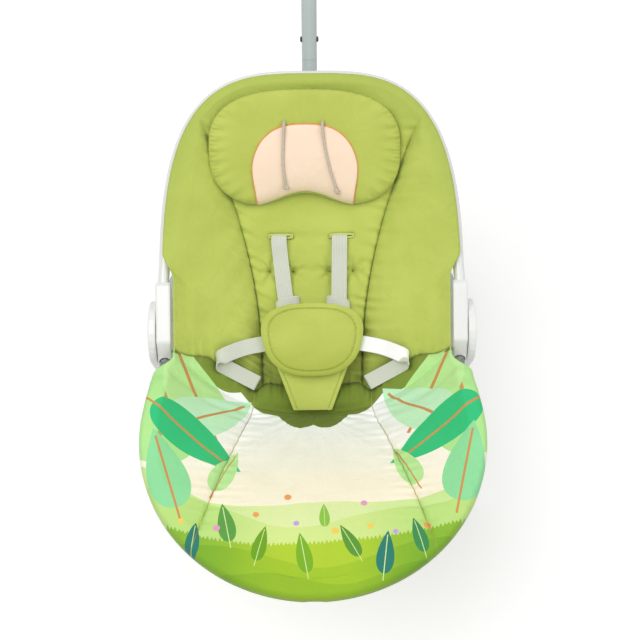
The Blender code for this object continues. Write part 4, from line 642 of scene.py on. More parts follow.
def cloth(name, pale, deep, sheen=0.25):
    """Dull cloth between two shades, with a crossing weave and soft creases in the bump."""
    made = finish(name, {"Roughness": 0.86, "Sheen Weight": sheen, "Sheen Roughness": 0.4,
                         "Specular IOR Level": 0.25}, (pale, deep, 0.045))
    tree = made.node_tree
    where = node(tree, "TexCoord", {}, {}).outputs["Object"]
    threads = {"Vector": where, "Scale": WAVE_LENGTH / THREADS_APART, "Distortion": 0.6}
    warp, weft = (node(tree, "TexWave", {"bands_direction": way}, threads).outputs["Fac"]
                  for way in ("X", "DIAGONAL"))
    weave = reckoned(tree, warp, ("ADD", weft))
    woven = node(tree, "Bump", {}, {"Height": weave, "Distance": 0.00010, "Strength": 0.45})
    crease = node(tree, "TexNoise", {}, {"Vector": where, "Scale": 70.0, "Detail": 4.0, "Distortion": 0.8})
    bump = node(tree, "Bump", {}, {"Height": crease, "Distance": 0.0016, "Strength": 0.7, "Normal": woven})
    tree.links.new(bump.outputs[0], tree.nodes["Principled BSDF"].inputs["Normal"])
    return made


def seam_columns(seam):
    """Shares of the half-width, from -1 to 1, packed closer at the seam and at the edge."""
    at = np.broadcast_to(np.linspace(-1, 1, seam.shape[1]), seam.shape)
    seam = np.minimum(seam, 0.8)
    inner = seam * (1 - (1 - np.clip(np.abs(at) / 0.42, 0, 1)) ** 1.7)
    beyond = np.clip((np.abs(at) - 0.42) / 0.58, 0, 1)
    return np.sign(at) * (inner + (1 - seam) * (0.65 * ease(beyond, 0, 1) + 0.35 * beyond))


# Rows lie closer at the crease and on both sides of the foot seam.
FOOT_ROWS, UPPER_ROWS, PAD_COLUMNS = 40, 182, 220
hip_x = HIP_HALF_WIDTH * seam_columns(np.full((1, PAD_COLUMNS), CENTRE_SEAM / HIP_HALF_WIDTH))
foot_at = foot_seam(hip_x)
below = np.sin(np.linspace(0, math.pi / 2, FOOT_ROWS + 1)[:-1])[:, None]
rising = (np.linspace(0, 1, UPPER_ROWS) ** 1.25)[:, None]
rising = rising + 0.10 * np.sin(math.pi * rising) * rising
t_grid = np.vstack([-SEAM_AT + (foot_at + SEAM_AT) * below,
                    foot_at + (BACK_TOP - GAP - foot_at) * rising])[::-1]
x_grid = back_width(t_grid) * seam_columns(back_seam(t_grid) / np.maximum(back_width(t_grid), 1e-6))
s_grid, flat_n, thick_grid = back_surface(t_grid, x_grid)
back_pad = closed_sheet("green_back_pad", slope_points(x_grid, s_grid, flat_n + back_relief(t_grid, x_grid)),
                        slope_points(x_grid, s_grid, flat_n - thick_grid), paired(x_grid, s_grid))
back_cloth = cloth("sewn_green_polyester", "c8d46c", "b6c259")
fit(back_pad, back_cloth, "seat", "green_cloth", "seat_pad_back")


def map_parts(tree, name, unsigned=False):
    """The pair of numbers that a map holds at a point; unsigned leaves out their signs."""
    at = node(tree, "UVMap", {"uv_map": name}, {})
    if unsigned:
        at = node(tree, "VectorMath", {"operation": "ABSOLUTE"}, {0: at})
    return node(tree, "SeparateXYZ", {}, {0: at}).outputs[:2]


def toned(tree, under, colour, *fades):
    """Lays one more colour over what is under it. A fade is a value, the two places between which its share
    eases, and its share at each; the shares of two fades are multiplied."""
    share, *others = (node(tree, "MapRange", SOFT_STEP, dict(enumerate(fade))) for fade in fades)
    return blend(tree, under, colour, reckoned(tree, share, *(("MULTIPLY", other) for other in others)))


# A second map holds how far each point lies from the nearest lengthwise seam or tuft and above the foot seam;
# the plain underside lies 50 mm from both. A dark green line along the seams and round the tufts is painted
# shade for the sunk seams between the puffs; it is wider toward the foot and fades toward the head.
UNDERSIDE_AWAY = 0.05
out_grid = np.abs(x_grid)
off_length = np.where(t_grid < foot_seam(x_grid), np.abs(out_grid - QUILTING_START),
                      np.abs(out_grid - back_seam(t_grid)) - 0.0007 * (1 - ease(t_grid, 0.02, 0.10))
                      + 0.0009 * ease(t_grid, 0.08, 0.22))
for up, spread in TUFTS:
    off_length = np.minimum(off_length, np.hypot(out_grid - spread, s_grid - up) - 0.0014)
seam_map = paired(np.maximum(off_length, 0), STATION_RUN * (t_grid - foot_seam(x_grid)))
add_map(back_pad.data, "seams", np.vstack([seam_map, np.full_like(seam_map, UNDERSIDE_AWAY)]))
tree = back_cloth.node_tree
back_colour = tree.nodes["Principled BSDF"].inputs["Base Color"]
off_lengthwise, off_foot = map_parts(tree, "seams", True)
# Painted shade: the dark green line along every seam and round the tufts.
colour = toned(tree, back_colour.links[0].from_socket, "58661f",
               (reckoned(tree, off_lengthwise, ("MINIMUM", off_foot)), 0.0003, 0.0013, 0.6, 0.0))
# A third map holds how far inside the outline a point lies; near the edge the cloth is painted darker, as
# painted shade where the edge turns away from the light, and more so toward the head end.
edge_map = paired(back_inset(t_grid, x_grid), t_grid)
add_map(back_pad.data, "edge", np.vstack([edge_map, edge_map]))
inside, station = map_parts(tree, "edge")
colour = toned(tree, colour, "a9b957", (inside, 0.002, 0.034, 0.75, 0.0), (station, 0.04, 0.20, 0.25, 1.0))
# Across the middle of the lowest fold, under the waist straps and the flap, the cloth is painted a deeper
# tone up to 62 mm above the foot seam: painted shade for the shadow under the straps and in the hollow.
colour = toned(tree, colour, "5d6d24", (map_parts(tree, "cloth", True)[0], 0.095, 0.130, 0.72, 0.0),
               (off_foot, 0.002, 0.062, 1.0, 0.0))
tree.links.new(colour, back_colour)


def back_height(x, s):
    """Height of the smooth back pad over the slope's plane at x and s; its station is found by halving."""
    x, s = (np.array(v, float) for v in np.broadcast_arrays(x, s))
    low, high = halved(np.full(x.shape, -SEAM_AT), np.full(x.shape, BACK_TOP), 26,
                       lambda t: back_surface(t, x)[0] < s)
    return back_surface((low + high) / 2, x)[1]


def on_back(x, s, lift):
    """World points at x and s, lift above the back pad."""
    return slope_points(np.asarray(x, float), np.asarray(s, float), back_height(x, s) + lift)


# Each slot is bound with a folded strip of the same cloth, paler where its edge is worn: a ring 3 mm thick.
BINDING_HALF_LENGTH = 0.0162
BINDING_HALF_HEIGHT = 0.0021
BINDING_R = 0.0015
binding_cloth = cloth("folded_binding_tape", "d3db86", "c0ca66")
ring_turn = around(56)
for side, sign in SIDES:
    ring = on_back(sign * SLOT_X + signed_power(np.cos(ring_turn), 0.55) * BINDING_HALF_LENGTH,
                   SLOT_UP + signed_power(np.sin(ring_turn), 0.8) * BINDING_HALF_HEIGHT, -0.0002)
    bound = np.stack([ring + BINDING_R * (np.cos(a) * OFF + np.sin(a) * UP) for a in around(8)], 1)
    number = np.arange(bound.shape[0] * 8).reshape(-1, 8)
    after = np.roll(number, -1, axis=0)
    quads = np.stack([number, np.roll(number, -1, axis=1), np.roll(after, -1, axis=1), after], -1)
    fit(fill_mesh(f"slot_binding_{side}", bound.reshape(-1, 3), quads.reshape(-1, 4)), binding_cloth, "seat",
        "green_cloth")


# Leg pad: the printed panel from the seat crease over the knee roll and down round the front tube, quilted
# along two spreading seams and gathered in small folds along the crease.
LEG_HALF_WIDTH = 0.2057
LEG_POWER = 2.0
LEG_CENTRE = 0.150
LEG_REACH = 0.353
LEG_BAND = 0.0215
LEG_SEAM_FLARE = 0.069
LEG_EDGE_ROUND = 0.0075
LEG_EDGE_DROP = 0.011
KNEE_DROP = 0.004
KNEE_AT = 0.92


def leg_width(y):
    """Half-width of the leg pad y forward of the hubs: past the hubs, then the front oval."""
    full = oval_width(np.maximum(y - LEG_CENTRE, 0), LEG_HALF_WIDTH, LEG_REACH - LEG_CENTRE, LEG_POWER)
    return np.minimum(full, HIP_HALF_WIDTH + 0.0235 * ease(y, 0.040, 0.066) + 0.0102 * ease(y, 0.055, 0.150))


def leg_seam(share):
    """Distance of a quilting seam from the middle: it spreads evenly from the crease to the front."""
    return QUILTING_START + LEG_SEAM_FLARE * share


def leg_surface(share, across):
    """Smooth upper face of the leg pad, and its thickness and inset. share runs from the crease, 0, to the
    front tube, 1, and on down the skirt; across from -1 to 1. The middle rises to the knee roll as a quarter
    wave to the power 1.15, and the rest follows as 1 less the share of the width to the power 2.6."""
    rim_y = SEAM_AT * UP[1] - EDGE_RISE * OFF[1]
    rim_z = -SEAM_AT * UP[2] + EDGE_RISE * OFF[2]
    mid_n = EDGE_RISE - BACK_HOLLOW * (1 - math.exp(-0.96 / HOLLOW_RATE))
    middle = CREASE_S * UP + mid_n * OFF
    front = LEG_REACH - LEG_BAND
    y = np.where(share < 1, rim_y + (front - rim_y) * share, front + (share - 1) * (LEG_BAND - GAP))
    wide = leg_width(y)
    x = wide * across
    mix = ease(share, 0.0, 0.13)
    inner = oval_width(np.maximum(y - LEG_CENTRE, 0), LEG_HALF_WIDTH - LEG_BAND,
                       LEG_REACH - LEG_CENTRE - LEG_BAND, LEG_POWER)
    inner = np.where(share >= 1, 0, np.minimum(inner, wide - LEG_BAND * mix))
    g = np.where(inner > 1e-4, 1 - np.clip(np.abs(x) / np.maximum(inner, 1e-6), 0, 1) ** BOWL_POWER, 0.0)
    f = np.clip(share, 0, 1)
    mid_y = -middle[1] + (front + middle[1]) * f
    knee = np.sin(np.minimum(f / KNEE_AT, 1) * math.pi / 2) ** 1.15
    knee = middle[2] + (EDGE_RISE - KNEE_DROP - middle[2]) * knee
    edge = rim_z + (EDGE_RISE - rim_z) * ease(y, 0.034, 0.105)
    inset = np.minimum(oval_inset(x, np.maximum(y - LEG_CENTRE, 0), LEG_HALF_WIDTH, LEG_REACH - LEG_CENTRE,
                                  LEG_POWER), wide - np.abs(x))
    inset = np.maximum(inset, 0)
    fall = rounded_off(inset, LEG_EDGE_ROUND) * LEG_EDGE_DROP * mix
    thick = np.clip((edge - knee) * g / FULL_DEPTH, 0, 1)
    thick = EDGE_THICK - 0.35 * fall + (PAD_THICK - EDGE_THICK) * thick
    return x, y + (mid_y - y) * g, edge + (knee - edge) * g - fall, thick, inset


def leg_relief(share, x, run, inset):
    """What sewing adds to the smooth leg pad, upward, in metres. It dies out toward the crease."""
    inside = ease(inset, 0.006, 0.032) * ease(share, 0.0, 0.05)
    seam_x = leg_seam(np.clip(share, 0, 1))
    off_seam = np.abs(x) - seam_x
    # Two quilting seams, gathered along their length, and a puff of 3 mm between them.
    up = -inside * seam_dip(off_seam, 0.0060, 0.0022, 0.0032, 0.013)
    up += inside * 0.0030 * np.cos(np.clip(x / seam_x, -1, 1) * math.pi / 2)
    up += inside * 0.0011 * puckers(run, off_seam, 0.0155, 0.015)
    # Folds fan out from the crease, in fine ones close by and broad ones beyond.
    turn = np.arctan2(x, run - 0.060)
    up += 0.0013 * np.sin(37 * turn + 2.0 * np.sin(9 * turn)) * np.exp(-share / 0.17) * ease(share, 0.0, 0.03)
    up += 0.0010 * np.sin(19 * turn + 1.3 * np.sin(5 * turn) + 14 * run) * ease(share, 0.08, 0.3) * inside
    # The edge is gathered onto its binding, and loose cloth lies in small waves beside the seams.
    gathers = np.sin(57 * turn + 3 * np.sin(7 * turn)) * ease(inset, 0.001, 0.012) * np.exp(-inset / 0.024)
    waves = np.sin(130 * run + 34 * x + 3 * np.sin(29 * x)) * np.exp(-np.abs(off_seam) / 0.035)
    up += 0.0008 * gathers * ease(share, 0.0, 0.13) + 0.0007 * waves * inside
    return up * ease(share * 0.27, 0.0, 0.009)


LEG_ROWS, SKIRT_ROWS = 208, 14
share = np.concatenate([np.sin(np.linspace(0, math.pi / 2, LEG_ROWS)),
                        1 + np.sin(np.linspace(0, math.pi / 2, SKIRT_ROWS + 1)[1:])])[:, None]
share = np.repeat(share, PAD_COLUMNS, axis=1)
packed_at = CENTRE_SEAM + (leg_seam(np.clip(share, 0, 1)) - CENTRE_SEAM) * ease(share, 0.0, 0.06)
across = seam_columns(packed_at / np.maximum(leg_width(0.026 + 0.305 * share), 0.02))
leg_x, leg_run, flat_z, thick, inset = leg_surface(share, across)
lean = ease(share, 0.0, 0.3)
down_y, down_z = OFF[1] * (1 - lean), OFF[2] * (1 - lean) + lean
size = np.hypot(down_y, down_z)
upper = HUB_LINE + np.stack([leg_x, -leg_run - 2 * GAP * ease(share, 0.0, 0.02),
                             flat_z + leg_relief(share, leg_x, leg_run, inset)], -1)
lower = HUB_LINE + np.stack([leg_x, -leg_run - 2 * GAP - thick * down_y / size,
                             flat_z - thick * down_z / size], -1)
leg_pad = closed_sheet("printed_leg_pad", upper, lower, paired(leg_x, leg_run))

# The two pads meet on a round seam tape that lies in the crease.
TAPE_R = 0.0032
tape_path = (upper[0] + lower[0]) / 2 + np.array((0.0, 0.0004, 0.0))
fit(rod("crease_seam_tape", tape_path, OFF, TAPE_R, 12), cloth("deep_green_seam_tape", "7d8d3b", "6a7a30"),
    "seat", "green_cloth")

# The same polyester, printed: cream, rolling bands of green and fans of large leaves, in inks that sink in
# and leave the weave to show. u is metres across and v metres forward of the hubs.
# Bands: level of the edge, its swell in metres, radians for each metre and shift, ink in the middle and at
# the sides, and 1 for a tufted edge.
BANDS = ((0.243, 0.009, 23.0, 4.4, "e3f1ac", "cfea98", 0.0),
         (0.262, 0.008, 31.0, 2.4, "d8ec92", "bfe282", 0.0),
         (0.291, 0.007, 16.0, 4.1, "b3d136", "8dbb38", 1.0),
         (0.311, 0.007, 33.0, 1.2, "a5c930", "7fb030", 0.0),
         (0.333, 0.006, 41.0, 0.2, "97be2e", "74a62c", 0.0))
# Leaves: centre, turn in degrees, half-length, half-width and ink. A leaf is a pointed oval.
LEAVES = ((-0.176, 0.112, 96, 0.080, 0.042, "b4e994"), (-0.150, 0.068, 66, 0.062, 0.036, "c2ef9e"),
          (-0.122, 0.098, 138, 0.058, 0.028, "c9f5cc"), (-0.138, 0.150, 216, 0.064, 0.026, "36c57f"),
          (-0.172, 0.196, 72, 0.052, 0.024, "93e0a0"), (-0.104, 0.186, 112, 0.034, 0.014, "bdeb9c"),
          (0.180, 0.104, 82, 0.080, 0.042, "b4e994"), (0.154, 0.060, 118, 0.062, 0.036, "c2ef9e"),
          (0.126, 0.088, 50, 0.056, 0.028, "c9f5cc"), (0.146, 0.142, 328, 0.064, 0.026, "36c57f"),
          (0.178, 0.190, 104, 0.052, 0.024, "93e0a0"), (0.110, 0.178, 70, 0.034, 0.014, "bdeb9c"),
          (-0.100, 0.262, 78, 0.026, 0.010, "5fa24a"), (-0.060, 0.288, 104, 0.022, 0.008, "6fa624"),
          (-0.012, 0.300, 80, 0.024, 0.009, "7cb32a"), (0.040, 0.286, 62, 0.022, 0.008, "5d9a3a"),
          (0.080, 0.300, 98, 0.026, 0.010, "2f7f6f"), (0.118, 0.280, 76, 0.022, 0.008, "3f8f55"),
          (0.012, 0.252, 88, 0.016, 0.006, "8fc74a"), (-0.136, 0.284, 96, 0.022, 0.008, "2f7f6f"))
LARGE_LEAF = 0.03
# Berries: centre, radius and ink; round dots 6 to 8 mm across.
BERRIES = ((-0.030, 0.226, 0.0042, "f2a65a"), (0.058, 0.236, 0.0038, "e9a0c8"),
           (-0.066, 0.252, 0.0036, "f2a65a"), (0.024, 0.274, 0.0042, "f6d35e"),
           (-0.020, 0.264, 0.0034, "c9a5e6"), (0.064, 0.268, 0.0036, "f6d35e"),
           (-0.110, 0.270, 0.0040, "e9a0c8"), (0.128, 0.268, 0.0042, "f2a65a"),
           (-0.150, 0.262, 0.0034, "f6d35e"), (0.092, 0.276, 0.0030, "c9a5e6"))


def print_colours(tree, chart):
    """The print's colours over a map of u and v. Each ink covers those before it; gold thread comes last."""
    u_at, v_at = map_parts(tree, chart)
    u_out = reckoned(tree, u_at, ("ABSOLUTE",))
    u_square = reckoned(tree, u_at, ("MULTIPLY", u_at))
    # The ground goes from white at 100 mm to cream at 211 mm.
    colours = blend(tree, "ffffff", "fff6dd", reckoned(tree, v_at, ("MULTIPLY_ADD", 9.0, -0.9)))
    # A band starts where v passes a level that swells and falls across the panel as a sine, nearer at the
    # sides. The third has a tufted edge, like a mown lawn, and every band is darker toward the sides.
    near_side = reckoned(tree, u_square, ("MULTIPLY", -1.2))
    blades = reckoned(tree, u_at, ("MULTIPLY_ADD", 210.0, 0.0), ("SINE",), ("MULTIPLY_ADD", 0.003, 0.0),
                      ("PINGPONG", 0.0018))
    tufts = reckoned(tree, u_at, ("ADD", 0.4), ("PINGPONG", 0.0023), ("MULTIPLY_ADD", 1.8, blades))
    side_share = node(tree, "MapRange", SOFT_STEP, {0: u_out, 1: 0.030, 2: 0.130, 3: 0.0, 4: 1.0})
    for level, swell, pace, shift, middle, beside, tufted in BANDS:
        edge = reckoned(tree, u_at, ("MULTIPLY_ADD", pace, shift), ("SINE",), ("MULTIPLY_ADD", swell, level),
                        ("ADD", near_side))
        edge = reckoned(tree, tufts, ("MULTIPLY_ADD", tufted, edge))
        colours = blend(tree, colours, blend(tree, middle, beside, side_share),
                        reckoned(tree, v_at, ("GREATER_THAN", edge)))
    # The top edge is the seat's green in lobes, widest in the middle: e to minus u squared over 70 mm
    # squared.
    # The green is partly the print's own and partly painted shade, and by the same bell it is painted darker
    # toward the middle, as painted shade by the crotch.
    swelling = reckoned(tree, u_square, ("MULTIPLY", -1 / 0.070 ** 2), ("EXPONENT",))
    lobed = reckoned(tree, u_out, ("MULTIPLY", 68.0), ("SINE",), ("ABSOLUTE",),
                     ("MULTIPLY_ADD", 0.010, reckoned(tree, swelling, ("MULTIPLY_ADD", 0.052, 0.040))))
    colours = blend(tree, colours, blend(tree, "84983c", "687a29", swelling),
                    reckoned(tree, v_at, ("LESS_THAN", lobed)))
    # p runs along a leaf and q across it. The leaf covers where |q| is under 0.92 (1 + p) times the root of
    # 1 - p: round at the stalk, p = 1, and pointed at the tip, p = -1. A rib runs along its middle.
    at = node(tree, "UVMap", {"uv_map": chart}, {})
    for at_u, at_v, turn, length, width, colour in LEAVES:
        local = node(tree, "Mapping", {"vector_type": "TEXTURE"},
                     {"Vector": at, "Location": (at_u, at_v, 0.0), "Rotation": (0.0, 0.0, math.radians(turn)),
                      "Scale": (length, width, 1.0)})
        p_at, q_at = node(tree, "SeparateXYZ", {}, {0: local}).outputs[:2]
        q_at = reckoned(tree, q_at, ("ABSOLUTE",))
        rounded = reckoned(tree, 1.0, ("SUBTRACT", p_at), ("MAXIMUM", 0.0), ("SQRT",))
        outline = reckoned(tree, p_at, ("MULTIPLY_ADD", 0.92, 0.92), ("MULTIPLY", rounded))
        colours = blend(tree, colours, colour, reckoned(tree, q_at, ("LESS_THAN", outline)))
        along = reckoned(tree, p_at, ("ADD", -0.25), ("ABSOLUTE",), ("LESS_THAN", 1.05))
        colours = blend(tree, colours, "d39555" if length > LARGE_LEAF else "d9eda0",
                        reckoned(tree, q_at, ("LESS_THAN", 0.055), ("MULTIPLY", along)))
    for at_u, at_v, radius, colour in BERRIES:
        away = node(tree, "VectorMath", {"operation": "DISTANCE"}, {0: at, 1: (at_u, at_v, 0.0)})
        colours = blend(tree, colours, colour, reckoned(tree, away, ("LESS_THAN", radius)))
    # Gold thread holds the two quilting seams down: a line 1 mm wide.
    off_seam = reckoned(tree, map_parts(tree, "seams")[0], ("ABSOLUTE",))
    return toned(tree, colours, "a9a355", (off_seam, 0.0002, 0.0009, 0.7, 0.0))


# The seams map holds the distance from the quilting seams, and then 0 on the printed face and 1 on the
# underside, which is lined with plain green polyester. Inks in the cloth are multiplied by its own white.
SUNK_IN = {"data_type": "RGBA", "blend_type": "MULTIPLY"}
quilt_map = paired(np.abs(leg_x) - leg_seam(np.clip(share, 0, 1)), np.zeros_like(leg_x))
add_map(leg_pad.data, "seams", np.vstack([quilt_map, quilt_map * (1, 0) + (UNDERSIDE_AWAY, 1.0)]))
printed_cloth = cloth("printed_polyester", "ffffff", "f4f4f4")
tree = printed_cloth.node_tree
leg_colour = tree.nodes["Principled BSDF"].inputs["Base Color"]
inked = blend(tree, print_colours(tree, "cloth"), "b9c45e",
              reckoned(tree, map_parts(tree, "seams")[1], ("GREATER_THAN", 0.6)))
soaked = node(tree, "Mix", SUNK_IN, {0: 1.0, 6: inked, 7: leg_colour.links[0].from_socket})
tree.links.new(soaked.outputs[2], leg_colour)
fit(leg_pad, printed_cloth, "seat", "printed_cloth", "seat_pad_leg")

# The printed piece is cut to run on over the crease, up to the seam across the back pad's foot. Its chart
# goes on there: v falls from the crease by the distance up the pad.
chart_v = np.interp(x_grid[-1], leg_x[0], leg_run[0]) - (s_grid - s_grid[-1])
foot_chart = paired(x_grid, chart_v)
add_map(back_pad.data, "print", np.vstack([foot_chart, foot_chart]))
tree = back_cloth.node_tree
soaked = node(tree, "Mix", SUNK_IN,
              {0: 1.0, 6: print_colours(tree, "print"), 7: mottled(tree, "ffffff", "f4f4f4", 0.045)})
foot = blend(tree, back_colour.links[0].from_socket, soaked.outputs[2],
             reckoned(tree, map_parts(tree, "seams")[1], ("LESS_THAN", -0.0008)))
tree.links.new(foot, back_colour)


# Head pillow: a bean-shaped green cushion laid in the head end's hollow, with a peach arch sewn on its
# middle and two grey ties stitched down over the arch.
PILLOW_HALF_WIDTH = 0.120
PILLOW_HALF_HEIGHT = 0.073
PILLOW_UP = 0.218
PILLOW_THICK = 0.030
PILLOW_EDGE = 0.004
PILLOW_LIFT = 0.0022
PILLOW_ASIDE = -0.007
PILLOW_DENT = 0.024
DENT_REACH = 0.050
BEAN_POWER = 2.7


def pillow_bounds(x):
    """Lower and upper edge of the bean at x, up the slope; the lower one is dented in the middle."""
    tall = PILLOW_HALF_HEIGHT * (1 - np.abs(x / PILLOW_HALF_WIDTH) ** BEAN_POWER) ** (1 / BEAN_POWER)
    return PILLOW_UP - tall + PILLOW_DENT * bell(x, DENT_REACH), PILLOW_UP + tall


def pillow_crown(x, v):
    """Thickness of the pillow; v runs from -1 at its lower edge to 1 at its upper edge. It is the root of
    1 less v squared, nearly, times 1 less the share of the width to the power 4, all to the power 0.6."""
    edge = (1 - (x / PILLOW_HALF_WIDTH) ** 4) * np.cos(np.arcsin(np.clip(v, -1, 1)) * 0.97)
    return PILLOW_EDGE + (PILLOW_THICK - PILLOW_EDGE) * np.maximum(edge, 0) ** 0.6


def pillow_top(x, s):
    """Height of the pillow's crown over the slope's plane, x from the pillow's own middle."""
    low, high = pillow_bounds(x)
    return back_height(x + PILLOW_ASIDE, s) + pillow_crown(x, (s - (high + low) / 2) / ((high - low) / 2))


def on_pillow(x, s, n):
    """World points at x from the pillow's own middle."""
    return slope_points(x + PILLOW_ASIDE, s, n)


pillow_x = PILLOW_HALF_WIDTH * np.sin(np.linspace(-1, 1, 168) * math.pi / 2 * 0.985)[:, None]
pillow_v = np.sin(np.linspace(-1, 1, 120) * math.pi / 2)[None]
low, high = pillow_bounds(pillow_x)
pillow_s = (high + low) / 2 + (high - low) / 2 * pillow_v
pillow_x = np.repeat(pillow_x, pillow_s.shape[1], axis=1)
base = back_height(pillow_x + PILLOW_ASIDE, pillow_s)
crown = pillow_crown(pillow_x, pillow_v)
puffed = np.clip((crown - PILLOW_EDGE) / (PILLOW_THICK - PILLOW_EDGE), 0, 1)
# Loose creases lie all over, broad and fine gathers run in from the edge, and short folds down from the top.
edge_turn = np.arctan2(pillow_s - PILLOW_UP, pillow_x * 0.6)
gathers = np.sin(31 * edge_turn + 1.7 * np.sin(60 * pillow_x)) * ease(np.abs(pillow_x), 0.02, 0.09)
fine = np.sin(83 * edge_turn + 2.3 * np.sin(9 * edge_turn)) + 0.6 * np.sin(57 * edge_turn + 1.0)
top_folds = np.sin(420 * pillow_x + 3 * np.sin(90 * pillow_x)) * bell(pillow_x, 0.07)
creases = (0.0005 * np.sin(64 * pillow_x + 45 * pillow_s + 1.6 * np.sin(38 * pillow_s)) * puffed
           + 0.0011 * gathers * bell(puffed - 0.45, 0.22) + 0.0007 * fine * bell(puffed - 0.30, 0.20)
           + 0.0007 * top_folds * puffed * ease(pillow_s, PILLOW_UP + 0.020, PILLOW_UP + 0.055))
pillow = closed_sheet("head_pillow_cover", on_pillow(pillow_x, pillow_s, base + crown + creases),
                      on_pillow(pillow_x, pillow_s, base + PILLOW_LIFT), paired(pillow_x, pillow_s))
fit(pillow, cloth("green_pillow_polyester", "c5cf68", "b4bf56"), "seat", "green_cloth", "head_pillow")

INSERT_HALF_WIDTH = 0.0675
INSERT_HEIGHT = 0.098
INSERT_FOOT = 0.022
INSERT_THICK = 0.005
INSERT_EDGE = 0.0012
foot_s = PILLOW_UP - PILLOW_HALF_HEIGHT + 0.0055


def arch_top(x):
    """Upper edge of the insert at x: on its straight foot, an oval of power 2.6."""
    out = np.clip(np.abs(x / INSERT_HALF_WIDTH), 0, 1)
    arch = (1 - out ** BOWL_POWER * 0.999) ** (1 / BOWL_POWER)
    return foot_s + INSERT_FOOT + (INSERT_HEIGHT - INSERT_FOOT) * arch


def drawn_in(s):
    """The arch's sides lean in toward its foot, by a tenth over the lowest 55 mm."""
    return 1 - 0.10 * ease(foot_s + 0.055 - s, 0.0, 0.055)


insert_x = INSERT_HALF_WIDTH * np.sin(np.linspace(-1, 1, 64) * math.pi / 2)[:, None]
insert_v = np.linspace(0, 1, 60)[None]
hem_s = foot_s + (INSERT_FOOT - 0.002) * bell(insert_x, DENT_REACH)
insert_s = hem_s + (arch_top(insert_x) - hem_s) * insert_v
swell = np.maximum(np.sin(math.pi * insert_v), 0) ** 0.5 * (1 - (insert_x / INSERT_HALF_WIDTH) ** 4) ** 0.5
insert_x = insert_x * drawn_in(insert_s)
sewn_on = pillow_top(insert_x, insert_s) + 3 * GAP
rise = INSERT_EDGE + (INSERT_THICK - INSERT_EDGE) * swell
rise = rise + 0.0010 * np.sin(210 * insert_x + 1.5 * np.sin(60 * insert_s)) * swell * np.exp(-insert_v / 0.30)
insert = closed_sheet("peach_insert", on_pillow(insert_x, insert_s, sewn_on + rise + 0.0006 * swell),
                      on_pillow(insert_x, insert_s, sewn_on - 0.0008), paired(insert_x, insert_s))
fit(insert, cloth("peach_microfibre", "ffe8d2", "fadcc2", 0.35), "seat", "peach_cloth", "pillow_insert")

# An orange piping is caught in the seam round the arch; 2 mm thick, of dull twisted cotton.
PIPING_R = 0.00105
piping_cotton = finish("orange_piping_cotton", {"Roughness": 0.8, "Sheen Weight": 0.3},
                       ("f0a060", "dc8340", 0.004), (0.0006, 0.0002))
arch_x = INSERT_HALF_WIDTH * np.sin(np.linspace(-1, 1, 90) * math.pi / 2) * 1.005
arch_up = arch_top(arch_x)
leg_up = np.linspace(foot_s + 0.004, arch_up[0] - 0.003, 12)
line_x = np.concatenate([np.full(12, arch_x[0]), arch_x, np.full(12, arch_x[-1])])
line_s = np.concatenate([leg_up, arch_up + 0.0006, leg_up[::-1]])
line_s = line_s + 0.0004 * np.sin(np.arange(len(line_s)) * 0.9)
line_x = line_x * drawn_in(line_s)
piping_path = on_pillow(line_x, line_s, pillow_top(line_x, line_s) + 0.0012)
fit(rod("insert_piping", piping_path, OFF, PIPING_R, 8), piping_cotton, "seat", "peach_cloth")


def smooth_line(knots, steps):
    """A curve through all knots: on each stretch the usual cubic of the four nearest knots."""
    knots = np.asarray(knots, float)
    ends = np.vstack([2 * knots[0] - knots[1], knots, 2 * knots[-1] - knots[-2]])
    a, b, c, d = (ends[i:len(ends) - 3 + i, None] for i in range(4))
    t = (np.arange(steps) / steps)[None, :, None]
    curve = 0.5 * (2 * b + (c - a) * t + (2 * a - 5 * b + 4 * c - d) * t ** 2
                   + (3 * b - a - 3 * c + d) * t ** 3)
    return np.vstack([curve.reshape(-1, knots.shape[1]), knots[-1]])


# Two round grey ties are stitched down over the arch, each with a knot at its lower end: one turn of the tie
# round itself. Braided cotton is dull, with slanting strands 1.6 mm apart.
TIE_R = 0.0019
KNOT_R = 0.0026
KNOT_TIE_R = 0.00145
STRANDS_APART = 0.0016
TIE_ROUND = 0.0104
tie_cotton = finish("braided_grey_cotton", {"Roughness": 0.85, "Sheen Weight": 0.2},
                    ("ddd2c2", "b8ac9c", 0.002))
tree = tie_cotton.node_tree
braid = node(tree, "TexWave", {"bands_direction": "DIAGONAL"},
             {"Vector": node(tree, "UVMap", {"uv_map": "cloth"}, {}),
              "Scale": WAVE_LENGTH / STRANDS_APART, "Distortion": 0.4})
strands = node(tree, "Bump", {},
               {"Height": braid.outputs["Fac"], "Distance": 0.0005, "Strength": 0.8})
tree.links.new(strands.outputs[0], tree.nodes["Principled BSDF"].inputs["Normal"])
knot_turn = np.linspace(0, 1.85 * 2 * math.pi, 60)
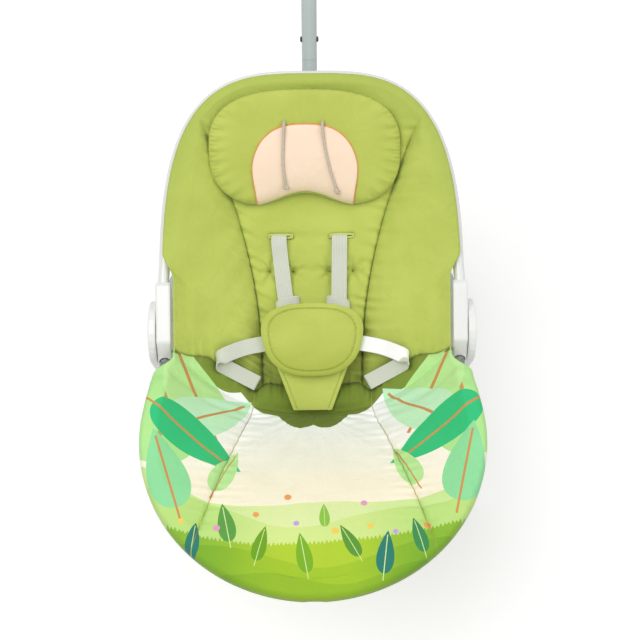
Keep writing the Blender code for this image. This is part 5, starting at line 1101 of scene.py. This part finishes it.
for side, spots in (("left", ((-0.0250, 0.2525), (-0.0262, 0.236), (-0.0272, 0.200), (-0.0240, 0.172))),
                    ("right", ((0.0225, 0.2525), (0.0225, 0.236), (0.0300, 0.200), (0.0405, 0.166)))):
    line_x, line_s = smooth_line(spots, 14).T
    lift = np.interp(np.arange(len(line_x)), (0, 3, 9, len(line_x) - 1), (-0.0072, -0.0030, 0.0, 0.0))
    tie_path = on_pillow(line_x, line_s, pillow_top(line_x, line_s) + INSERT_THICK + 0.0012 + TIE_R + lift)
    tie_uv = paired(np.linspace(0, TIE_ROUND, 10)[None], np.linspace(0, 0.075, len(tie_path))[:, None])
    fit(rod(f"pillow_tie_{side}", tie_path, OFF, TIE_R, 10, tie_uv), tie_cotton, "seat", "webbing")
    right, raised = np.cos(knot_turn)[:, None] * ACROSS, np.sin(knot_turn)[:, None] * OFF
    knot_path = (tie_path[-2] + KNOT_R * (right + raised * 0.75)
                 + np.linspace(-0.0022, 0.0022, 60)[:, None] * UP + 0.0008 * OFF)
    knot_uv = paired(np.linspace(0, TIE_ROUND, 8)[None], np.linspace(0, 0.03, 60)[:, None])
    fit(rod(f"tie_knot_{side}", knot_path, right + raised, KNOT_TIE_R, 8, knot_uv), tie_cotton, "seat",
        "webbing")


# Harness: grey polypropylene webbing 20 mm wide and 1.6 mm thick. Two shoulder straps come down from the
# slots, two slack waist straps loop back to the pad, and the buckle sits under the flap.
WEB_WIDTH = 0.020
WEB_THICK = 0.0016
STRAP_END_UP = 0.022
BUCKLE_WIDTH = 0.042

# Woven webbing: dull, with lengthwise ribs crossed by short picks and a groove between; its colour is painted
# darker where the relief is low, as painted shade in the grooves. Ribs are 1 mm apart; they are drawn 2 mm
# apart so that they show.
RIBS_APART = 0.0020
webbing = finish("woven_grey_webbing", {"Roughness": 0.8, "Sheen Weight": 0.25})
tree = webbing.node_tree
shader = tree.nodes["Principled BSDF"]
on_band = node(tree, "UVMap", {"uv_map": "cloth"}, {})
yarn = {"Vector": on_band, "Scale": WAVE_LENGTH / RIBS_APART}
ribs = node(tree, "TexWave", {"bands_direction": "X"}, yarn)
picks = node(tree, "TexWave", {"bands_direction": "Y"}, yarn | {"Distortion": 1.2})
relief = reckoned(tree, picks.outputs["Fac"], ("MULTIPLY_ADD", 0.35, ribs.outputs["Fac"]))
yarns = node(tree, "Bump", {}, {"Height": relief, "Distance": 0.0001, "Strength": 0.7})
# Painted shade: the colour follows the relief, darker in the grooves.
tree.links.new(blend(tree, "c0c3b5", "d7d9ce", relief), shader.inputs["Base Color"])
tree.links.new(yarns.outputs[0], shader.inputs["Normal"])


def run_along(path):
    """Distance of each point of a path from its start, along the path."""
    return np.concatenate([[0], np.cumsum(np.linalg.norm(np.diff(path, axis=0), axis=1))])


def web_band(name, path, outward, *stands_for, material=webbing, width=WEB_WIDTH, thick=WEB_THICK):
    """Webbing carried along a path, with rounded edges; its cloth map is in metres across and along."""
    wide = signed_power(np.cos(around(40)), 0.30) * width / 2
    high = signed_power(np.sin(around(40)), 0.70) * thick / 2
    rings = carried(path, outward, paired(wide, high))
    band = closed_bar(name, rings, paired(wide[None], run_along(path)[:, None]))
    fit(band, material, "seat", "webbing", *stands_for)


STITCH_LENGTH = 0.0024
STITCH_PITCH = 0.0036
THREAD_R = 0.00032
STITCH_RINGS, THREAD_SIDES = 5, 6


def stitch_row(name, path, material):
    """Short threads set end to end with gaps along a path on the seat, each a closed spindle of six sides:
    its radius follows the root of 1 less the square of the way from its middle."""
    run = run_along(path)
    starts = np.arange(STITCH_PITCH * 0.3, run[-1] - STITCH_LENGTH, STITCH_PITCH)
    t = np.linspace(0, 1, STITCH_RINGS)
    where = np.stack([np.interp(starts[:, None] + t * STITCH_LENGTH, run, path[:, k]) for k in range(3)], -1)
    along = where[:, -1:] - where[:, :1]
    along = along / np.linalg.norm(along, axis=-1, keepdims=True)
    up = OFF - along * np.sum(OFF * along, -1, keepdims=True)
    up = up / np.linalg.norm(up, axis=-1, keepdims=True)
    fat = THREAD_R * np.sqrt(np.maximum(1 - (2 * t - 1) ** 2, 0.03))[None, :, None, None]
    turn = around(THREAD_SIDES)[:, None]
    spoke = np.cos(turn) * np.cross(along, up)[:, :, None] + np.sin(turn) * up[:, :, None]
    rings = where[:, :, None] + fat * spoke
    number = np.arange(rings.size // 3).reshape(-1, STITCH_RINGS, THREAD_SIDES)
    after = np.roll(number, -1, axis=2)
    quads = np.stack([number[:, :-1], after[:, :-1], after[:, 1:], number[:, 1:]], -1).reshape(-1, 4)
    faces = quads[:, ::-1].tolist() + number[:, 0].tolist() + number[:, -1, ::-1].tolist()
    points = rings.reshape(-1, 3)
    a, b, c = (points[quads[0, i]] for i in range(3))
    if np.dot(np.cross(b - a, c - a), a - where[0, 0]) > 0:
        faces = [face[::-1] for face in faces]
    fit(fill_mesh(name, points, faces), material, "seat", "webbing")


def sewn_path(spots, sign, steps):
    """A smooth path over the back pad through spots of (distance from the middle, s, lift)."""
    out, s, lift = np.array(spots).T
    return smooth_line(on_back(sign * out, s, lift), steps)


# Polyester sewing thread, paler than the webbing, with a slight gloss.
pale_thread = finish("pale_sewing_thread", {"Roughness": 0.6}, ("f2f2e6", "dfe0d0", 0.002))
for side, sign, at_slot, at_end in (("left", -1, SLOT_X + 0.002, SLOT_X - 0.0075),
                                    ("right", 1, SLOT_X - 0.003, SLOT_X - 0.0045)):
    aside = sign * ACROSS
    slant = at_end - at_slot
    path = sewn_path(((at_slot, SLOT_UP + 0.0004, -0.006), (at_slot, SLOT_UP, 0.003),
                      (at_slot, SLOT_UP - 0.010, 0.0058), (at_slot + 0.2 * slant, 0.085, 0.0040),
                      (at_slot + 0.6 * slant, 0.050, 0.0060), (at_end, STRAP_END_UP, 0.0080)), sign, 10)
    outward = smooth_line([UP, UP + 0.6 * OFF, OFF, OFF, OFF, OFF], 10)
    web_band(f"shoulder_webbing_{side}", path, outward, f"shoulder_strap_{side}")
    # A short loop of the same webbing lies across the end and holds it to the buckle's tongue.
    turn = np.linspace(-0.55, math.pi + 0.35, 40)
    loop = on_back(sign * (at_end - 0.001 + 0.0145 * np.cos(turn)),
                   0.0235 + 0.0030 * np.sin(turn) - 0.0035 * np.cos(turn), 0.0062 + 0.0052 * np.sin(turn))
    web_band(f"shoulder_loop_{side}", loop, np.cos(turn)[:, None] * aside + np.sin(turn)[:, None] * OFF,
             width=0.0195)
    row = on_back(sign * (at_slot + 0.6 * slant) + np.linspace(-0.0085, 0.0085, 12), 0.0515,
                  0.0060 + WEB_THICK / 2 + 0.0002)
    stitch_row(f"shoulder_stitches_{side}", row, pale_thread)

    path = sewn_path(((BUCKLE_WIDTH / 2 + 2 * GAP, -0.020, 0.0190), (0.050, -0.022, 0.0165),
                      (0.085, -0.028, 0.0120), (0.110, -0.037, 0.0140), (0.121, -0.045, 0.0095),
                      (0.110, -0.053, 0.0050), (0.091, -0.064, 0.0045), (0.071, -0.075, 0.0040)), sign, 9)
    outward = smooth_line([OFF, OFF, OFF, OFF, aside, -OFF, -OFF, -OFF], 9)
    web_band(f"waist_webbing_{side}", path, outward, f"waist_strap_{side}")
    row = on_back(sign * np.linspace(0.0705, 0.0800, 12), np.linspace(-0.0620, -0.0785, 12),
                  0.0044 + WEB_THICK / 2)
    stitch_row(f"waist_stitches_{side}", row, pale_thread)

# The bare care label, smooth white satin tape, is sewn on the right waist strap's upper run.
LABEL_WIDTH = 0.0188
LABEL_THICK = 0.0004
label_satin = finish("white_satin_label", {"Roughness": 0.5, "Sheen Weight": 0.3},
                     ("fbfbfa", "f1f1f0", 0.006), (0.0005, 0.00004))
upper_run = slice(4, 38)
face = outward[upper_run] / np.linalg.norm(outward[upper_run], axis=1, keepdims=True)
web_band("care_label", path[upper_run] + face * (WEB_THICK / 2 + 0.0005), face, material=label_satin,
         width=LABEL_WIDTH, thick=LABEL_THICK)

dress(grey_abs, "buckle_body")
# Red ABS, polished so that the release key is found at a glance.
dress(finish("polished_red_abs", {"Roughness": 0.3, "Coat Weight": 0.2}, ("d2362c", "b82a22", 0.006)),
      "buckle_button")


# Crotch flap: two layers of green polyester over wadding, turned, bound by a top stitch 7 mm inside the
# edge and sewn at its foot to the tapered crotch strap, which is stitched along both sides.
FLAP_HALF_WIDTH = 0.064
FLAP_HEIGHT = 0.093
FLAP_THICK = 0.007
FLAP_EDGE = 0.0008
FLAP_SAG = 0.0035
FLAP_S = -0.0186
FLAP_N = -0.0300
FLAP_POWER = 2.6
FLAP_TAPER = 0.14
FLAP_SEAM = 0.0066


def flap_points(share, turn, upper):
    """Points of the flap: share runs from its middle, 0, to its edge, 1, and turn goes round it. The outline
    is the oval of power 2.6, drawn in toward the foot; the crown is the root of 1 less the share to the
    power 6. The upper face has a stitched groove with a bead outside it, puckers, and loose folds."""
    u = share * signed_power(np.cos(turn), 2 / FLAP_POWER)
    v = share * signed_power(np.sin(turn), 2 / FLAP_POWER)
    x = FLAP_HALF_WIDTH * u * (1 + FLAP_TAPER * v)
    s = FLAP_S + FLAP_HEIGHT / 2 * v
    crown = FLAP_EDGE + (FLAP_THICK / 2 - FLAP_EDGE) * np.sqrt(np.maximum(1 - share ** 6, 0))
    n = FLAP_N - FLAP_SAG * np.clip(u, -1, 1) ** 2
    if not upper:
        return slope_points(x, s, n - crown)
    reach = (1 - share) * FLAP_HEIGHT / 2
    crown = crown - 0.0013 * bell(reach - FLAP_SEAM, 0.0010) + 0.0008 * bell(reach - 0.0036, 0.0020)
    crown = crown + 0.0005 * np.sin(58 * turn + 2 * np.sin(7 * turn)) * bell(reach - 0.0085, 0.004)
    waves = np.sin(90 * x + 60 * s) + np.sin(70 * s - 85 * x + 1.0)
    folds = np.sin(150 * s + 60 * x + 2.5 * np.sin(40 * x)) + np.sin(110 * x - 170 * s + 2 * np.sin(55 * s))
    crown = crown + 0.0008 * waves * ease(reach, 0.008, 0.024) + 0.0004 * folds * ease(reach, 0.007, 0.016)
    return slope_points(x, s, n + crown)


flap_turn = around(192)[None]
rings = np.vstack([flap_points(np.sin(np.linspace(0.02, math.pi / 2, 40))[:, None], flap_turn, False),
                   flap_points(np.sin(np.linspace(math.pi / 2, 0.02, 110))[1:, None], flap_turn, True)])
flap = closed_bar("crotch_flap_cover", rings)
flap_cloth = cloth("green_flap_polyester", "c4cd66", "b3bd58")
fit(flap, flap_cloth, "seat", "green_cloth", "crotch_flap")
# The flap is painted a deeper tone toward its foot: painted shade where it turns under.
tree = flap_cloth.node_tree
flap_colour = tree.nodes["Principled BSDF"].inputs["Base Color"]
up_slope = node(tree, "VectorMath", {"operation": "DOT_PRODUCT"},
                {0: node(tree, "TexCoord", {}, {}).outputs["Object"], 1: UP})
flap_foot = HUB_LINE @ UP + FLAP_S - FLAP_HEIGHT / 2
tree.links.new(toned(tree, flap_colour.links[0].from_socket, "a4ae46",
                     (up_slope, flap_foot, flap_foot + 0.052, 0.75, 0.0)), flap_colour)
# Polyester sewing thread in olive, a tone deeper than the cloth.
green_thread = finish("olive_sewing_thread", {"Roughness": 0.6}, ("98a243", "858f36", 0.002))
seam_turn = np.linspace(0, 2 * math.pi, 400)
seam_at = np.full(400, 1 - FLAP_SEAM / (FLAP_HEIGHT / 2))
stitch_row("flap_stitches", flap_points(seam_at, seam_turn, True) + GAP * OFF, green_thread)

# The crotch strap runs from the crease up to the buckle and widens on the way, as two flat cushioned faces.
BUCKLE_HEIGHT = 0.046
BUCKLE_THICK = 0.014
BUCKLE_S = -0.0206
BUCKLE_TOP_N = -0.0341
STRAP_SEAM = 0.0055
STRAP_FOOT_WIDTH = 0.025
STRAP_SPREAD = 0.024
low_at = np.array((CREASE_S + 0.0052, EDGE_RISE - BACK_HOLLOW + 0.0072))
high_at = np.array((BUCKLE_S - BUCKLE_HEIGHT / 2 - GAP, BUCKLE_TOP_N - BUCKLE_THICK / 2 + 0.001))


def strap_line(t):
    """Middle and half-width of the crotch strap at t, from 0 at its foot to 1 at the buckle: s, n, width."""
    s, n = (low + (high - low) * t for low, high in zip(low_at, high_at))
    return s, n, STRAP_FOOT_WIDTH + STRAP_SPREAD * t


t = np.linspace(0, 1, 60)[:, None]
turn = around(96)[None]
a, b = signed_power(np.cos(turn), 0.5), signed_power(np.sin(turn), 0.5)
strap_s, strap_n, wide = strap_line(t)
reach = wide * (1 - np.abs(a))
# The upper face is nicked along both stitched seams and creased between them.
creases = 0.0004 * np.sin(130 * t + 40 * a) * ease(reach, 0.006, 0.012) * np.sin(math.pi * t)
lump = 1.15 * b * (0.0016 + 0.0014 * np.sin(math.pi * t))
lump = lump + np.where(b > 0, creases - 0.0009 * bell(reach - STRAP_SEAM, 0.0009), 0)
crotch = closed_bar("crotch_strap_cover", slope_points(wide * a, strap_s, strap_n + lump))
fit(crotch, cloth("green_strap_polyester", "c6cf68", "b5bf5a"), "seat", "green_cloth", "crotch_strap")
for side, sign in SIDES:
    t = np.linspace(0.02, 0.98, 60)
    row_s, row_n, wide = strap_line(t)
    row = slope_points(sign * (wide - STRAP_SEAM), row_s, row_n + 0.0016 + 0.0014 * np.sin(math.pi * t) * 1.1)
    stitch_row(f"crotch_stitches_{side}", row, green_thread)
